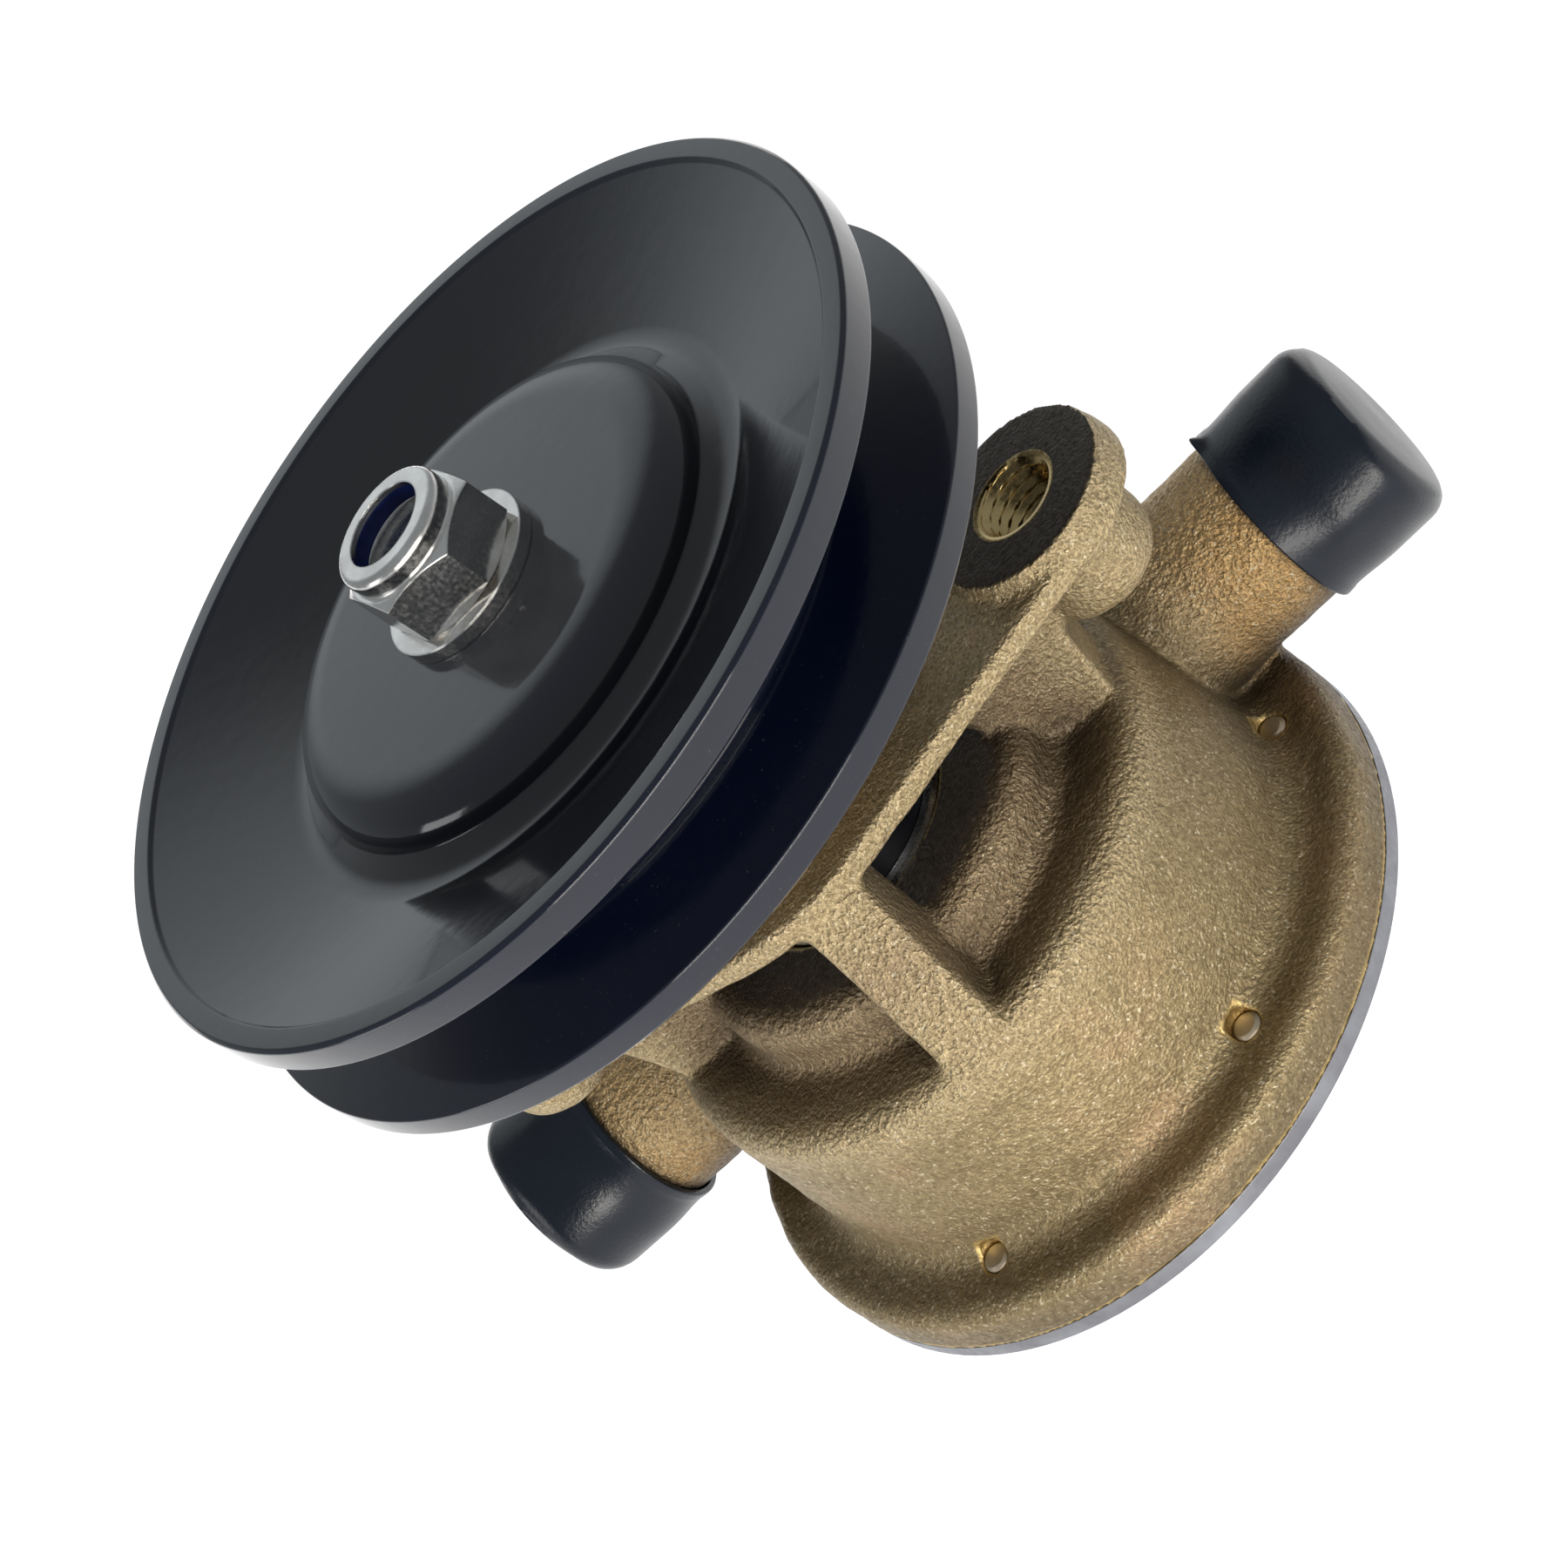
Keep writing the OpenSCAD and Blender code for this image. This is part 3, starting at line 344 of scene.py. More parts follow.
casting = bpy.data.objects.new("casting", nodes["pump_body"].data.copy())
scene.collection.objects.link(casting)
grid = casting.modifiers.new("grid", "REMESH")
grid.mode = "VOXEL"
grid.voxel_size = GRID * MM
shape = bpy.data.meshes.new_from_object(casting.evaluated_get(bpy.context.evaluated_depsgraph_get()))
casting.modifiers.clear()
casting.data = shape

spot = points_of(shape)
height = spot[:, 2].copy()
rho = np.hypot(spot[:, 0], spot[:, 1])
ear_d = np.hypot(np.abs(spot[:, 0]) - EAR_X, spot[:, 1])
turn = math.radians(PORT_TURN)
along = spot[:, 0] * math.cos(turn) + (spot[:, 1] - PORT_Y) * math.sin(turn)
across = (spot[:, 1] - PORT_Y) * math.cos(turn) - spot[:, 0] * math.sin(turn)
port_d = np.hypot(across, height - PORT_Z)
screw_d = np.full(len(spot), np.inf)
for i in range(SCREW_COUNT):
    a = math.radians(SCREW_FIRST) + 2 * math.pi * i / SCREW_COUNT
    away = spot[:, :2] - SCREW_CIRCLE_R * np.array([math.cos(a), math.sin(a)])
    screw_d = np.minimum(screw_d, np.hypot(away[:, 0], away[:, 1]))
pad = (ear_d < PAD_R) & (height > PAD_Z - PAD_DEPTH)
machined = (ear_d < EAR_HOLE_R) & (height > EAR_LOW)
machined |= (rho < BEARING_SEAT_R) & (height > BEARING_SEAT_LOW)
machined |= (rho < CHAMBER_R) & (height < CHAMBER_TOP)
machined |= height < FLANGE_FACE_TOP
machined |= (port_d < PORT_BORE_R) & (np.abs(along) > PORT_BORE_START)
machined |= np.abs(along) > NIPPLE_END
machined |= (screw_d < SCREW_HOLE_R) & (height < SCREW_HOLE_TOP)

# The posts, the ears and the chamber's rims are softened, as sand leaves them; machined faces stay crisp
ends = np.empty(len(shape.edges) * 2, dtype=np.int32)
shape.edges.foreach_get("vertices", ends)
a, b = ends[0::2], ends[1::2]
own, other = np.concatenate([a, b]), np.concatenate([b, a])
share = np.bincount(own, minlength=len(spot))[:, None]
crisp = machined | pad
give = np.where(crisp, 0, SOFTEN_SHARE)[:, None]
for _ in range(SOFTEN_ROUNDS):
    middle = np.stack([np.bincount(own, spot[other, k], len(spot)) for k in range(3)], axis=1) / share
    spot += (middle - spot) * give

# The drilled holes of the ears open out for the thread's full depth
wall = (ear_d < DRILLED_R) & (spot[:, 2] > THREAD_LOW)
ear_side = np.sign(spot[wall, 0]) * EAR_X
out_x, out_y = spot[wall, 0] - ear_side, spot[wall, 1]
reach = (THREAD_MAJOR + THREAD_ROOM) / np.maximum(np.hypot(out_x, out_y), 1)
spot[wall, 0] = ear_side + out_x * reach
spot[wall, 1] = out_y * reach
put_points(shape, spot)

lift = np.zeros(len(spot))
for cell, depth, seed in SKIN_WAVES:
    lift += depth * lattice_noise(spot, cell, seed)
normals = np.empty(len(spot) * 3)
shape.vertices.foreach_get("normal", normals)
put_points(shape, spot + normals.reshape(-1, 3) * np.where(crisp, 0, lift)[:, None])

height = spot[:, 2]
nipple = ramp(np.abs(along) - NIPPLE_ROOT, NIPPLE_RAMP) * (port_d < NIPPLE_REACH)
# Upper parts and nipples: a rougher sand skin, and painted light that makes their colour paler.
crust_and_light = np.maximum(nipple, ramp(height - CRUST_AND_LIGHT_LOW, CRUST_AND_LIGHT_RAMP))
# Round the boss under the pulley: a pinkish-brown patina, partly painted shade that darkens these faces.
roof = (ramp(ROOF_R - rho, ROOF_R_RAMP) * ramp(height - ROOF_LOW, ROOF_LOW_RAMP)
        * ramp(ROOF_TOP - height, ROOF_TOP_RAMP))
masks = {"drilled": machined, "pad": pad, "nipple": nipple, "roof": roof, "crust_and_light": crust_and_light}
for label, value in masks.items():
    shape.attributes.new(label, "FLOAT", "POINT").data.foreach_set("value", value.astype(np.float32))
shape.polygons.foreach_set("use_smooth", np.ones(len(shape.polygons), dtype=bool))

bronze, tree, shader = new_material("cast_bronze", colour=(0.42, 0.33, 0.18), metallic=0.22, roughness=0.5)
drilled, faced, on_nipple, on_roof, on_crust_and_light = [
    add_node(tree, "ShaderNodeAttribute", {"attribute_name": label}).outputs["Fac"]
    for label in ("drilled", "pad", "nipple", "roof", "crust_and_light")]
patches = place_group(tree, grain_group, Scale=26, Detail=2, Low=0.38, High=0.62)
blush = place_group(tree, grain_group, Scale=55, Detail=3, Low=0.52, High=0.70)
grit = place_group(tree, grain_group, Scale=1900, Detail=2, Low=0.34, High=0.66)
coarse = place_group(tree, grain_group, Scale=950, Detail=3, Low=0.32, High=0.72)
glint = place_group(tree, grain_group, Scale=1500, Detail=1, Low=0.63, High=0.70)
# Painted shade: an occlusion mask darkens corners, recesses and the faces under the pulley.
painted_shade = add_node(tree, "ShaderNodeAmbientOcclusion", {"samples": 6}, Distance=0.035)
painted_shade_mask = add_node(tree, "ShaderNodeMapRange", From_Min=0.24, From_Max=0.90)
sharpness = add_node(tree, "ShaderNodeNewGeometry").outputs["Pointiness"]
ridge_wear_and_highlight = add_node(tree, "ShaderNodeMapRange", From_Min=0.515, From_Max=0.58, To_Max=0.85)
bare = add_node(tree, "ShaderNodeMath", {"operation": "MULTIPLY"})
join(tree,
     (painted_shade.outputs["AO"], painted_shade_mask.inputs["Value"]),
     (sharpness, ridge_wear_and_highlight.inputs["Value"]),
     (on_nipple, bare.inputs[0]),
     (ranged(tree, patches.outputs[0], 0.3, 1), bare.inputs[1]))
skin = blend(tree, patches.outputs[0], DULL_SKIN, WARM_SKIN)
skin = blend(tree, blush.outputs[0], skin, BLUSH)
# Painted light: the upper parts and the nipples are painted paler, as where the lamps fall on them.
skin = blend(tree, ranged(tree, on_crust_and_light, 0, PAINTED_LIGHT_COVER), skin, CRUST_PAINTED_LIGHT)
skin = blend(tree, bare.outputs[0], skin, ORANGE)
# Pinkish-brown patina round the boss, its darker tone painted shade under the pulley.
skin = blend(tree, ranged(tree, on_roof, 0, ROOF_PATINA_AND_SHADE_COVER), skin, ROOF_PATINA_AND_SHADE)
skin = blend(tree, ranged(tree, grit.outputs[0], 0.25, 1), GRIT_DARK, skin)
skin = blend(tree, ranged(tree, coarse.outputs[0], 0, SAND_COVER), skin, SAND_PALE)
# Sharp edges and bumps are paler: partly rubbed bare bronze, partly painted highlights.
skin = blend(tree, ridge_wear_and_highlight.outputs[0], skin, RIDGE_WEAR_AND_HIGHLIGHT)
skin = blend(tree, ranged(tree, glint.outputs[0], 0, GLINT_COVER), skin, GLINT_PALE)
# Painted shade in the corners, the recesses and under the pulley.
skin = blend(tree, painted_shade_mask.outputs[0], PAINTED_SHADE_DARK, skin)
# The machined pads are painted dark, as shade.
skin = blend(tree, faced, skin, blend(tree, grit.outputs[0], PAD_SHADE_DARK, PAD_SHADE_PALE))
skin = blend(tree, drilled, skin, blend(tree, grit.outputs[0], CUT_DARK, CUT_PALE))
shine = add_node(tree, "ShaderNodeMath", {"operation": "MAXIMUM"})
shine.inputs[1].default_value = SKIN_METAL
cut_at_all = add_node(tree, "ShaderNodeMath", {"operation": "MAXIMUM"})
flatness = add_node(tree, "ShaderNodeMath", {"operation": "SUBTRACT"})
flatness.inputs[0].default_value = 1
sand_height = add_node(tree, "ShaderNodeMath", {"operation": "MULTIPLY"})
sand = add_node(tree, "ShaderNodeBump", Distance=0.00034)
fine = add_node(tree, "ShaderNodeBump", Strength=0.5, Distance=0.00014)
join(tree,
     (skin, shader.inputs["Base Color"]),
     (drilled, shine.inputs[0]),
     (shine.outputs[0], shader.inputs["Metallic"]),
     (ranged(tree, coarse.outputs[0], *SKIN_ROUGH), shader.inputs["Roughness"]),
     (drilled, cut_at_all.inputs[0]),
     (faced, cut_at_all.inputs[1]),
     (cut_at_all.outputs[0], flatness.inputs[1]),
     (coarse.outputs[0], sand_height.inputs[0]),
     (flatness.outputs[0], sand_height.inputs[1]),
     (ranged(tree, on_crust_and_light, 0.38, 1), sand.inputs["Strength"]),
     (sand_height.outputs[0], sand.inputs["Height"]),
     (grit.outputs[0], fine.inputs["Height"]),
     (sand.outputs[0], fine.inputs["Normal"]),
     (fine.outputs[0], shader.inputs["Normal"]))
shape.materials.clear()
shape.materials.append(bronze)
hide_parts("pump_body")
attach(casting, "housing")


# Threads of the two mounting ears: a coarse thread for the bracket's bolts, cut bright into the bronze,
# with a chamfered mouth on the machined pad.
def rounded(corners, steps=6, side_share=0.48):
    """Points (r, z) of an outline whose corners (r, z, radius) are rounded, within a share of each side."""
    points = []
    for i, (x, z, radius) in enumerate(corners):
        if not radius:
            points.append((x, z))
            continue
        corner = Vector((x, z))
        back = Vector(corners[i - 1][:2]) - corner
        ahead = Vector(corners[(i + 1) % len(corners)][:2]) - corner
        half = back.angle(ahead) / 2
        reach = min(radius / math.tan(half), back.length * side_share, ahead.length * side_share)
        middle = corner + (back.normalized() + ahead.normalized()).normalized() * reach / math.cos(half)
        first = corner + back.normalized() * reach - middle
        last = corner + ahead.normalized() * reach - middle
        start = math.atan2(first.y, first.x)
        swing = (math.atan2(last.y, last.x) - start + math.pi) % (2 * math.pi) - math.pi
        for k in range(steps + 1):
            t = start + swing * k / steps
            points.append((middle.x + first.length * math.cos(t), middle.y + first.length * math.sin(t)))
    return points


def oval(x, z, rx, rz, start, end, steps=14):
    """Corners along part of an oval, ready for rounded()."""
    turns = [math.radians(start + (end - start) * k / steps) for k in range(steps + 1)]
    return [(x + rx * math.cos(t), z + rz * math.sin(t), 0) for t in turns]


def lathe(name, outline, sides, mat, place=None, bend=None, sharp=32):
    """A piece turned about Z from a closed outline (r, z) in millimetres. bend may move each point."""
    points = []
    for r, z in outline:
        for s in range(sides):
            a = 2 * math.pi * s / sides
            points.append(bend(r, z, a) if bend else (r * math.cos(a), r * math.sin(a), z))
    faces = []
    for i in range(len(outline)):
        low, high = i * sides, (i + 1) % len(outline) * sides
        faces += [(low + s, low + (s + 1) % sides, high + (s + 1) % sides, high + s) for s in range(sides)]
    mesh = bpy.data.meshes.new(name)
    mesh.from_pydata([tuple(c * MM for c in p) for p in points], [], faces)
    form = bmesh.new()
    form.from_mesh(mesh)
    bmesh.ops.remove_doubles(form, verts=form.verts, dist=1e-7)
    bmesh.ops.dissolve_degenerate(form, edges=form.edges, dist=1e-8)
    bmesh.ops.recalc_face_normals(form, faces=form.faces)
    form.to_mesh(mesh)
    form.free()
    if place:
        mesh.transform(place)
    mesh.polygons.foreach_set("use_smooth", [True] * len(mesh.polygons))
    mesh.set_sharp_from_angle(angle=math.radians(sharp))
    mesh.materials.append(mat)
    piece = bpy.data.objects.new(name, mesh)
    scene.collection.objects.link(piece)
    return piece


THREAD_STEP, THREAD_SIDES, THREAD_SHARP = 0.14, 72, 50
MOUTH_CHAMFER, MOUTH_DEPTH, MOUTH_RISE = 0.15, 0.3, 0.03
MOUTH_R, DRILL_TIP_R, SLEEVE_R = THREAD_MAJOR + 0.2, 1.2, 7.9
HOLE_FLOOR, SLEEVE_FLOOR = THREAD_LOW - 0.3, THREAD_LOW - 1.2
BRASS_DARK, BRASS_PALE, BRASS_ROUGH = (0.60, 0.44, 0.19), (0.78, 0.61, 0.30), (0.16, 0.34)
brass, tree, shader = new_material("cut_brass", colour=(0.72, 0.55, 0.26), metallic=1, roughness=0.22)
streaks = place_group(tree, grain_group, Scale=1500, Detail=2, Low=0.3, High=0.7)
join(tree,
     (ranged(tree, streaks.outputs[0], *BRASS_ROUGH), shader.inputs["Roughness"]),
     (blend(tree, streaks.outputs[0], BRASS_DARK, BRASS_PALE), shader.inputs["Base Color"]))


def thread_row(r, z, a):
    """Rows marked by r = 0 follow the thread; all others keep their radius."""
    if r == 0 and z > THREAD_LOW:
        phase = (z / THREAD_PITCH + a / (2 * math.pi)) % 1
        r = THREAD_MINOR + (THREAD_MAJOR - THREAD_MINOR) * abs(2 * phase - 1)
        r = max(r, THREAD_MAJOR + MOUTH_CHAMFER - (PAD_Z - z))
    return r * math.cos(a), r * math.sin(a), z


rows = int((PAD_Z - MOUTH_DEPTH - THREAD_LOW) / THREAD_STEP)
thread_outline = [(0, PAD_Z - MOUTH_DEPTH - THREAD_STEP * k) for k in range(rows)]
thread_outline += [(THREAD_MINOR, THREAD_LOW), (DRILL_TIP_R, HOLE_FLOOR), (0, HOLE_FLOOR),
                   (0, SLEEVE_FLOOR), (SLEEVE_R, SLEEVE_FLOOR), (SLEEVE_R, PAD_Z + MOUTH_RISE),
                   (MOUTH_R, PAD_Z + MOUTH_RISE)]
for side, label in ((1, "right"), (-1, "left")):
    place = Matrix.Translation((side * EAR_X * MM, 0, 0))
    thread = lathe(f"{label}_ear_thread", thread_outline, THREAD_SIDES, brass, place, thread_row,
                   THREAD_SHARP)
    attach(thread, "housing")

# V-belt pulley: two halves pressed from steel sheet, welded back to back and sprayed gloss black. The
# front half is dished, with a raised round middle that carries the hub.
RIM_Z, RIM_R, HUB_R = 139.5, 76, 8.02
GROOVE_DEPTH, GROOVE_SLOPE = 17.5, 19
GROOVE_R = RIM_R - GROOVE_DEPTH
GROOVE_RISE = GROOVE_DEPTH * math.tan(math.radians(GROOVE_SLOPE))
PULLEY_SIDES = 288
PAINT_DARK, PAINT_PALE = (0.002, 0.005, 0.019), (0.004, 0.0075, 0.024)
DUST_GREY, RUBBED_GREY, PAINT_ROUGH = (0.05, 0.05, 0.055), (0.03, 0.034, 0.042), (0.10, 0.19)
paint, tree, shader = new_material("gloss_paint", colour=(0.003, 0.006, 0.021), metallic=0, roughness=0.14)
for label, value in (("Coat Weight", 0.5), ("Coat Roughness", 0.05), ("Specular IOR Level", 0.5)):
    shader.inputs[label].default_value = value
peel = place_group(tree, grain_group, Scale=260, Detail=2, Low=0.3, High=0.7)
dust = place_group(tree, grain_group, Scale=1900, Detail=1, Low=0.74, High=0.80)
haze = place_group(tree, grain_group, Scale=34, Detail=5, Low=0.35, High=0.75)
rubbed = place_group(tree, wear_group, Radius=0.0004, Amount=1.6, Breakup=420)
coat_colour = blend(tree, haze.outputs[0], PAINT_DARK, PAINT_PALE)
coat_colour = blend(tree, dust.outputs[0], coat_colour, DUST_GREY)
coat_colour = blend(tree, rubbed.outputs["Mask"], coat_colour, RUBBED_GREY)
orange_peel = add_node(tree, "ShaderNodeBump", Strength=0.05, Distance=0.0004)
join(tree,
     (coat_colour, shader.inputs["Base Color"]),
     (ranged(tree, haze.outputs[0], *PAINT_ROUGH), shader.inputs["Roughness"]),
     (peel.outputs[0], orange_peel.inputs["Height"]),
     (rubbed.outputs["Normal"], orange_peel.inputs["Normal"]),
     (orange_peel.outputs[0], shader.inputs["Normal"]))


def on_rim(corners):
    """An outline with rounded corners, its heights counted from the pulley's front rim."""
    return [(r, z + RIM_Z) for r, z in rounded(corners)]


# Corners (r, z, radius) of the halves, each once round its section
front_corners = (
    [(HUB_R, -0.4, 0)] + oval(31.5, -6.4, 9.6, 6, 90, 10) + [(41.3, -7.3, 0.6), (46, -9.6, 9)]
    + [(71.6, -0.6, 0.5), (72.2, 0, 0.4), (75.4, 0, 0.3), (RIM_R, -0.6, 0.5), (RIM_R, -5.6, 0.4)]
    + [(GROOVE_R, -5.6 - GROOVE_RISE, 1.5), (GROOVE_R, -14.2, 0)] + oval(46, -10.4, 8.9, 3.8, 270, 180, 8)
    + oval(31.5, -10.4, 5.6, 6, 0, 90, 8) + [(HUB_R, -4.4, 0)])
rear_corners = [
    (47, -14.2, 0.3), (GROOVE_R, -14.2, 0), (GROOVE_R, -22.8 + GROOVE_RISE, 1.5), (RIM_R, -22.8, 0.4),
    (RIM_R, -27, 0.5), (75.4, -27.6, 0.3), (72.2, -27.6, 1.2), (55.5, -21.85, 2), (52.5, -18.2, 2),
    (47, -18.2, 0.3)]
front_half = lathe("pulley_front", on_rim(front_corners), PULLEY_SIDES, paint)
rear_half = lathe("pulley_rear", on_rim(rear_corners), PULLEY_SIDES, paint)
for piece, node in ((front_half, "pulley_front_half"), (rear_half, "pulley_rear_half")):
    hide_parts(node)
    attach(piece, "rotor")
nodes["pulley_hub"].material_slots[0].material = paint

# Hose caps: thin caps of dipped vinyl, pushed over both nipples to keep dirt out. They are soft, so the
# middle draws in, the end swells a little square, and the mouth's rim is pinched up at one corner.
CAP_START, CAP_END, CAP_FLOOR, CAP_INNER, CAP_SIDES, CAP_SHARP = 75, 97.9, 92.4, 16.3, 128, 40
WAIST_R, SWELL, SWELL_START, SWELL_LENGTH, SWELL_STEPS = 17.25, 0.55, 2.4, 9, 14
SQUARE_SWELL, SQUARE_TURN, SQUARE_FROM, SQUARE_OVER, LOOSE_SWELL = 0.5, 0.6, 7, 12, 0.12
DENT, DENT_AT, DENT_TALL, DENT_WIDE = 0.8, 8, 4.5, 0.5
FOLD, FOLD_AT, FOLD_TALL, FOLD_TURN, FOLD_WIDE = 0.45, 11, 10, 0.7, 0.16
PINCH, PINCH_TALL, PINCH_WIDE = 1.9, 2.2, 0.12
VINYL_DARK, VINYL_PALE, VINYL_ROUGH = (0.005, 0.009, 0.017), (0.011, 0.016, 0.028), (0.22, 0.36)
vinyl, tree, shader = new_material("dipped_vinyl", colour=(0.010, 0.014, 0.021), metallic=0, roughness=0.36)
shader.inputs["Specular IOR Level"].default_value = 0.4
cloudy = place_group(tree, grain_group, Scale=45, Detail=4, Low=0.3, High=0.75)
pores = place_group(tree, grain_group, Scale=1400, Detail=2, Low=0.3, High=0.7)
pitting = add_node(tree, "ShaderNodeBump", Strength=0.12, Distance=0.0002)
join(tree,
     (blend(tree, cloudy.outputs[0], VINYL_DARK, VINYL_PALE), shader.inputs["Base Color"]),
     (ranged(tree, cloudy.outputs[0], *VINYL_ROUGH), shader.inputs["Roughness"]),
     (pores.outputs[0], pitting.inputs["Height"]),
     (pitting.outputs[0], shader.inputs["Normal"]))
# The cap's section runs from the mouth over the waist to the closed end and back inside
swell = [(WAIST_R + SWELL * (1 - math.cos(math.pi * k / SWELL_STEPS)) / 2,
          CAP_START + SWELL_START + SWELL_LENGTH * k / SWELL_STEPS, 0) for k in range(SWELL_STEPS + 1)]
cap_outline = rounded(
    [(CAP_INNER, CAP_START, 0.3), (17.5, CAP_START, 0.4), (17.4, CAP_START + 1.6, 0.4)] + swell
    + [(17.9, CAP_END - 0.6, 6.5), (9, CAP_END - 0.25, 6), (0, CAP_END, 0)]
    + [(0, CAP_FLOOR, 0), (CAP_INNER, CAP_FLOOR, 0)], steps=8)


def cap_bend(dent_turn, lip_turn):
    """Shape of a soft cap: a square-ish swell at the end, a dent beside a fold, and one pinched corner."""
    def bend(r, z, a):
        if r > CAP_INNER + 0.1:
            up = z - CAP_START
            end = max(0, min(1, (up - SQUARE_FROM) / SQUARE_OVER))
            away = math.remainder(a - dent_turn, 2 * math.pi)
            lip = math.remainder(a - lip_turn, 2 * math.pi)
            square = math.cos(4 * a + SQUARE_TURN)
            fold = math.exp(-((away - FOLD_TURN) / FOLD_WIDE) ** 2)
            r += SQUARE_SWELL * end * square + LOOSE_SWELL * math.cos(3 * a + dent_turn)
            r -= DENT * math.exp(-(away / DENT_WIDE) ** 2 - ((up - DENT_AT) / DENT_TALL) ** 2)
            r += FOLD * fold * max(0, 1 - abs(up - FOLD_AT) / FOLD_TALL)
            r += PINCH * math.exp(-(lip / PINCH_WIDE) ** 2) * max(0, 1 - up / PINCH_TALL)
        return r * math.cos(a), r * math.sin(a), z
    return bend


for side, label, dent_turn, lip_turn in ((1, "right", 3.9, 2.9), (-1, "left", 5.3, 0.5)):
    place = (Matrix.Translation((0, PORT_Y * MM, PORT_Z * MM)) @ Matrix.Rotation(turn, 4, "Z")
             @ Matrix.Rotation(side * math.pi / 2, 4, "Y"))
    bend = cap_bend(dent_turn, lip_turn)
    cap = lathe(f"{label}_cap", cap_outline, CAP_SIDES, vinyl, place, bend, CAP_SHARP)
    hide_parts(f"{label}_port_cap")
    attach(cap, f"{label}_cap")


# Washer and self-locking nut: bright zinc on steel, cold-formed, with chamfered corners. The nut's collar
# holds a ring of blue nylon that grips the shaft's thread.
def metal(name, dull, light, rough, grain, radius=0.0003, worn=(0.8, 0.8, 0.8), metallic=1):
    """A bare metal with uneven gloss, fine grain and softly broken edges."""
    mat, tree, shader = new_material(name, light, metallic, rough[1])
    cloud = place_group(tree, grain_group, Scale=grain, Detail=4, Low=0.32, High=0.68)
    marks = place_group(tree, grain_group, Scale=grain * 9, Detail=3, Low=0.3, High=0.7)
    edges = place_group(tree, wear_group, Radius=radius, Amount=2.5, Breakup=600)
    tone = blend(tree, cloud.outputs[0], dull, light)
    bump = add_node(tree, "ShaderNodeBump", Strength=0.15, Distance=0.00005)
    join(tree,
         (blend(tree, edges.outputs["Mask"], tone, worn), shader.inputs["Base Color"]),
         (ranged(tree, marks.outputs[0], *rough), shader.inputs["Roughness"]),
         (marks.outputs[0], bump.inputs["Height"]),
         (edges.outputs["Normal"], bump.inputs["Normal"]),
         (bump.outputs[0], shader.inputs["Normal"]))
    return mat


def dress(mat, *names):
    """Gives a material to CAD nodes that stay as they are."""
    for name in names:
        for held in nodes[name].material_slots:
            held.material = mat


zinc = metal("zinc_plate", dull=(0.66, 0.64, 0.61), light=(0.86, 0.85, 0.83), rough=(0.10, 0.26),
             grain=160, radius=0.0005, worn=(0.95, 0.94, 0.92))
dress(zinc, "pulley_washer", "lock_nut")
NYLON_DARK, NYLON_PALE = (0.008, 0.02, 0.15), (0.02, 0.05, 0.30)
nylon, tree, shader = new_material("nylon", colour=(0.012, 0.03, 0.22), metallic=0, roughness=0.35)
shader.inputs["Subsurface Weight"].default_value = 0.1
milky = place_group(tree, grain_group, Scale=300, Detail=3, Low=0.3, High=0.7)
join(tree, (blend(tree, milky.outputs[0], NYLON_DARK, NYLON_PALE), shader.inputs["Base Color"]))
dress(nylon, "nylon_insert")

# Shaft, keys and spacers: ground stainless steel, with fine marks from the lathe. The keys drive the
# pulley's hub and the impeller.
ground_steel = metal("ground_steel", dull=(0.42, 0.42, 0.43), light=(0.62, 0.62, 0.63), rough=(0.22, 0.38),
                     grain=220)
dress(ground_steel, "shaft", "bearing_spacer", "hub_spacer", "pulley_key", "impeller_key")

# Cover and wear plate: cut from rolled stainless sheet, with a satin face. The cover is screwed on under
# the flange, and the wear plate lies behind the impeller.
rolled_steel = metal("rolled_steel", dull=(0.24, 0.24, 0.26), light=(0.36, 0.37, 0.40), rough=(0.36, 0.55),
                     grain=120, radius=0.0004, worn=(0.5, 0.5, 0.55))
dress(rolled_steel, "cover_plate", "wear_plate")

# Cover screws and cam screw: turned nickel-brass. The six ends of the cover's screws show in the
# flange's tapped holes.
screw_metal = metal("screw_metal", dull=(0.40, 0.34, 0.25), light=(0.54, 0.46, 0.34), rough=(0.34, 0.50),
                    grain=300, worn=(0.72, 0.64, 0.48), metallic=0.5)
dress(screw_metal, "cover_screws", "cam_screw")

# Ball bearings: ground rings and polished balls in a cage pressed from brass. Both are pushed into their
# seats in the casting.
ring_steel = metal("bearing_steel", dull=(0.40, 0.41, 0.42), light=(0.60, 0.61, 0.63), rough=(0.18, 0.32),
                   grain=260)
ball_steel = metal("polished_steel", dull=(0.70, 0.71, 0.72), light=(0.82, 0.83, 0.84), rough=(0.05, 0.10),
                   grain=200)
cage_brass = metal("pressed_brass", dull=(0.50, 0.40, 0.20), light=(0.66, 0.54, 0.30), rough=(0.25, 0.42),
                   grain=240)
for bearing in ("rear_bearing", "front_bearing"):
    dress(ring_steel, f"{bearing}_outer_ring", f"{bearing}_inner_ring")
    dress(ball_steel, f"{bearing}_balls")
    dress(cage_brass, f"{bearing}_cage")

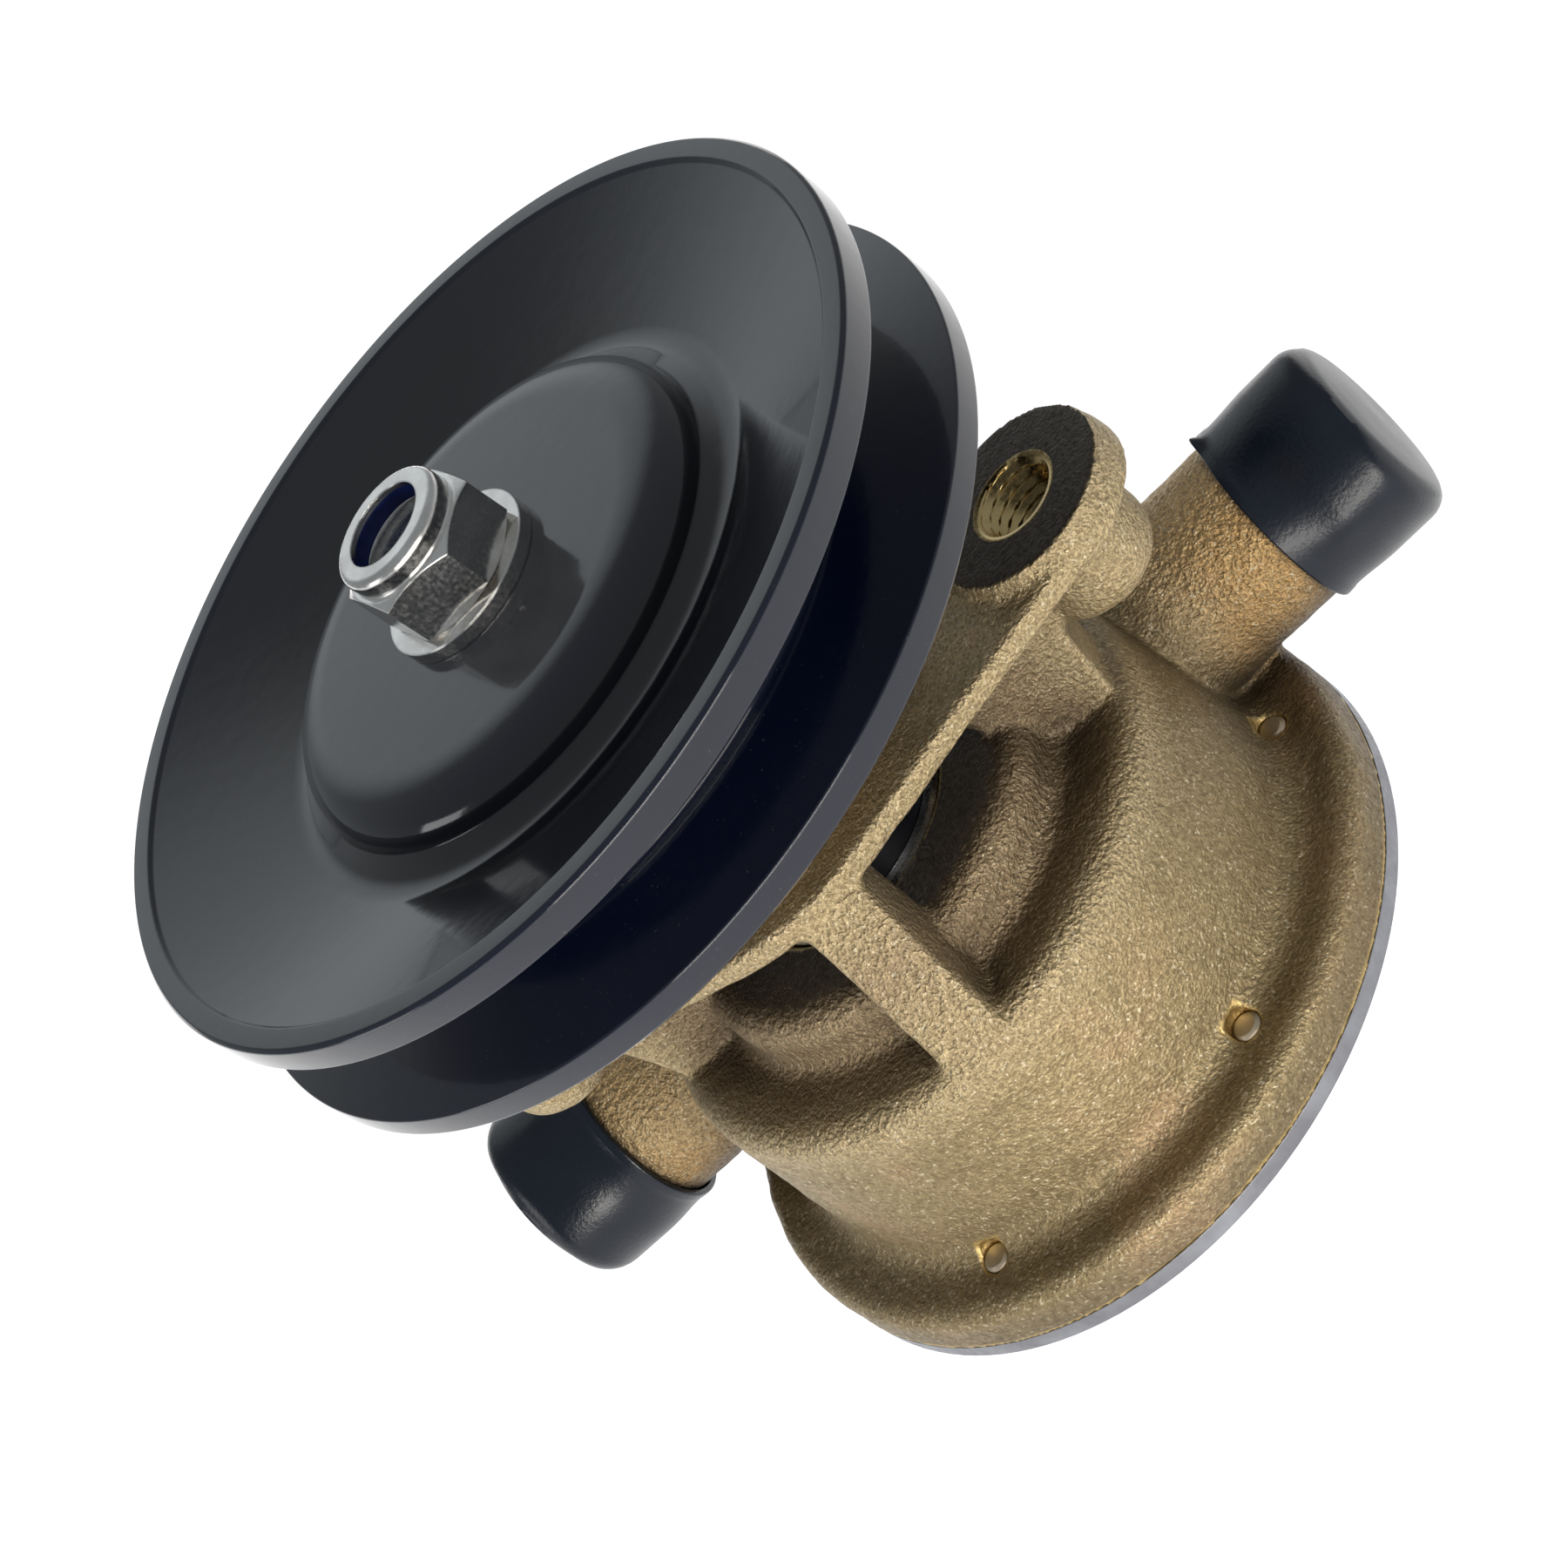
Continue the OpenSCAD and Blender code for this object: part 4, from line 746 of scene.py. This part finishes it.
# Spring rings, seal case and garter spring: spring steel and pressed sheet. The spring rings are
# phosphated dark, the seal's parts are left bright.
dark_spring = metal("dark_spring", dull=(0.07, 0.07, 0.075), light=(0.13, 0.13, 0.135), rough=(0.35, 0.55),
                    grain=300, radius=0.0002, worn=(0.3, 0.3, 0.3))
bright_spring = metal("bright_spring", dull=(0.48, 0.49, 0.50), light=(0.62, 0.63, 0.65), rough=(0.2, 0.35),
                      grain=260)
dress(dark_spring, "bearing_circlip", "shaft_circlip")
dress(bright_spring, "seal_case", "seal_spring")

# Cam and impeller bush: turned bronze, smooth and yellow. The cam is screwed to the chamber's wall, and
# the bush is moulded into the impeller.
yellow_bronze = metal("turned_bronze", dull=(0.48, 0.33, 0.14), light=(0.62, 0.46, 0.22),
                      rough=(0.28, 0.42), grain=200)
dress(yellow_bronze, "cam", "impeller_bush")


# Impeller, seal lip, cover ring and thrower: black rubber, vulcanised in moulds. The shields of the
# bearings are rubber on a steel disc, glossier and a little blue.
def rubber(name, dark, light, rough):
    """Moulded rubber with a faint bloom and fine pores."""
    mat, tree, shader = new_material(name, light, 0, rough[1])
    bloom = place_group(tree, grain_group, Scale=140, Detail=4, Low=0.35, High=0.7)
    pores = place_group(tree, grain_group, Scale=2200, Detail=2, Low=0.3, High=0.7)
    bump = add_node(tree, "ShaderNodeBump", Strength=0.2, Distance=0.00008)
    join(tree,
         (blend(tree, bloom.outputs[0], dark, light), shader.inputs["Base Color"]),
         (ranged(tree, bloom.outputs[0], *rough), shader.inputs["Roughness"]),
         (pores.outputs[0], bump.inputs["Height"]),
         (bump.outputs[0], shader.inputs["Normal"]))
    return mat


moulded = rubber("moulded_rubber", dark=(0.014, 0.014, 0.015), light=(0.030, 0.030, 0.032),
                 rough=(0.55, 0.75))
glossy = rubber("shield_rubber", dark=(0.008, 0.010, 0.022), light=(0.016, 0.020, 0.036),
                rough=(0.30, 0.45))
dress(moulded, "impeller", "seal_lip", "cover_o_ring", "slinger")
dress(glossy, "rear_bearing_shields", "front_bearing_shields")
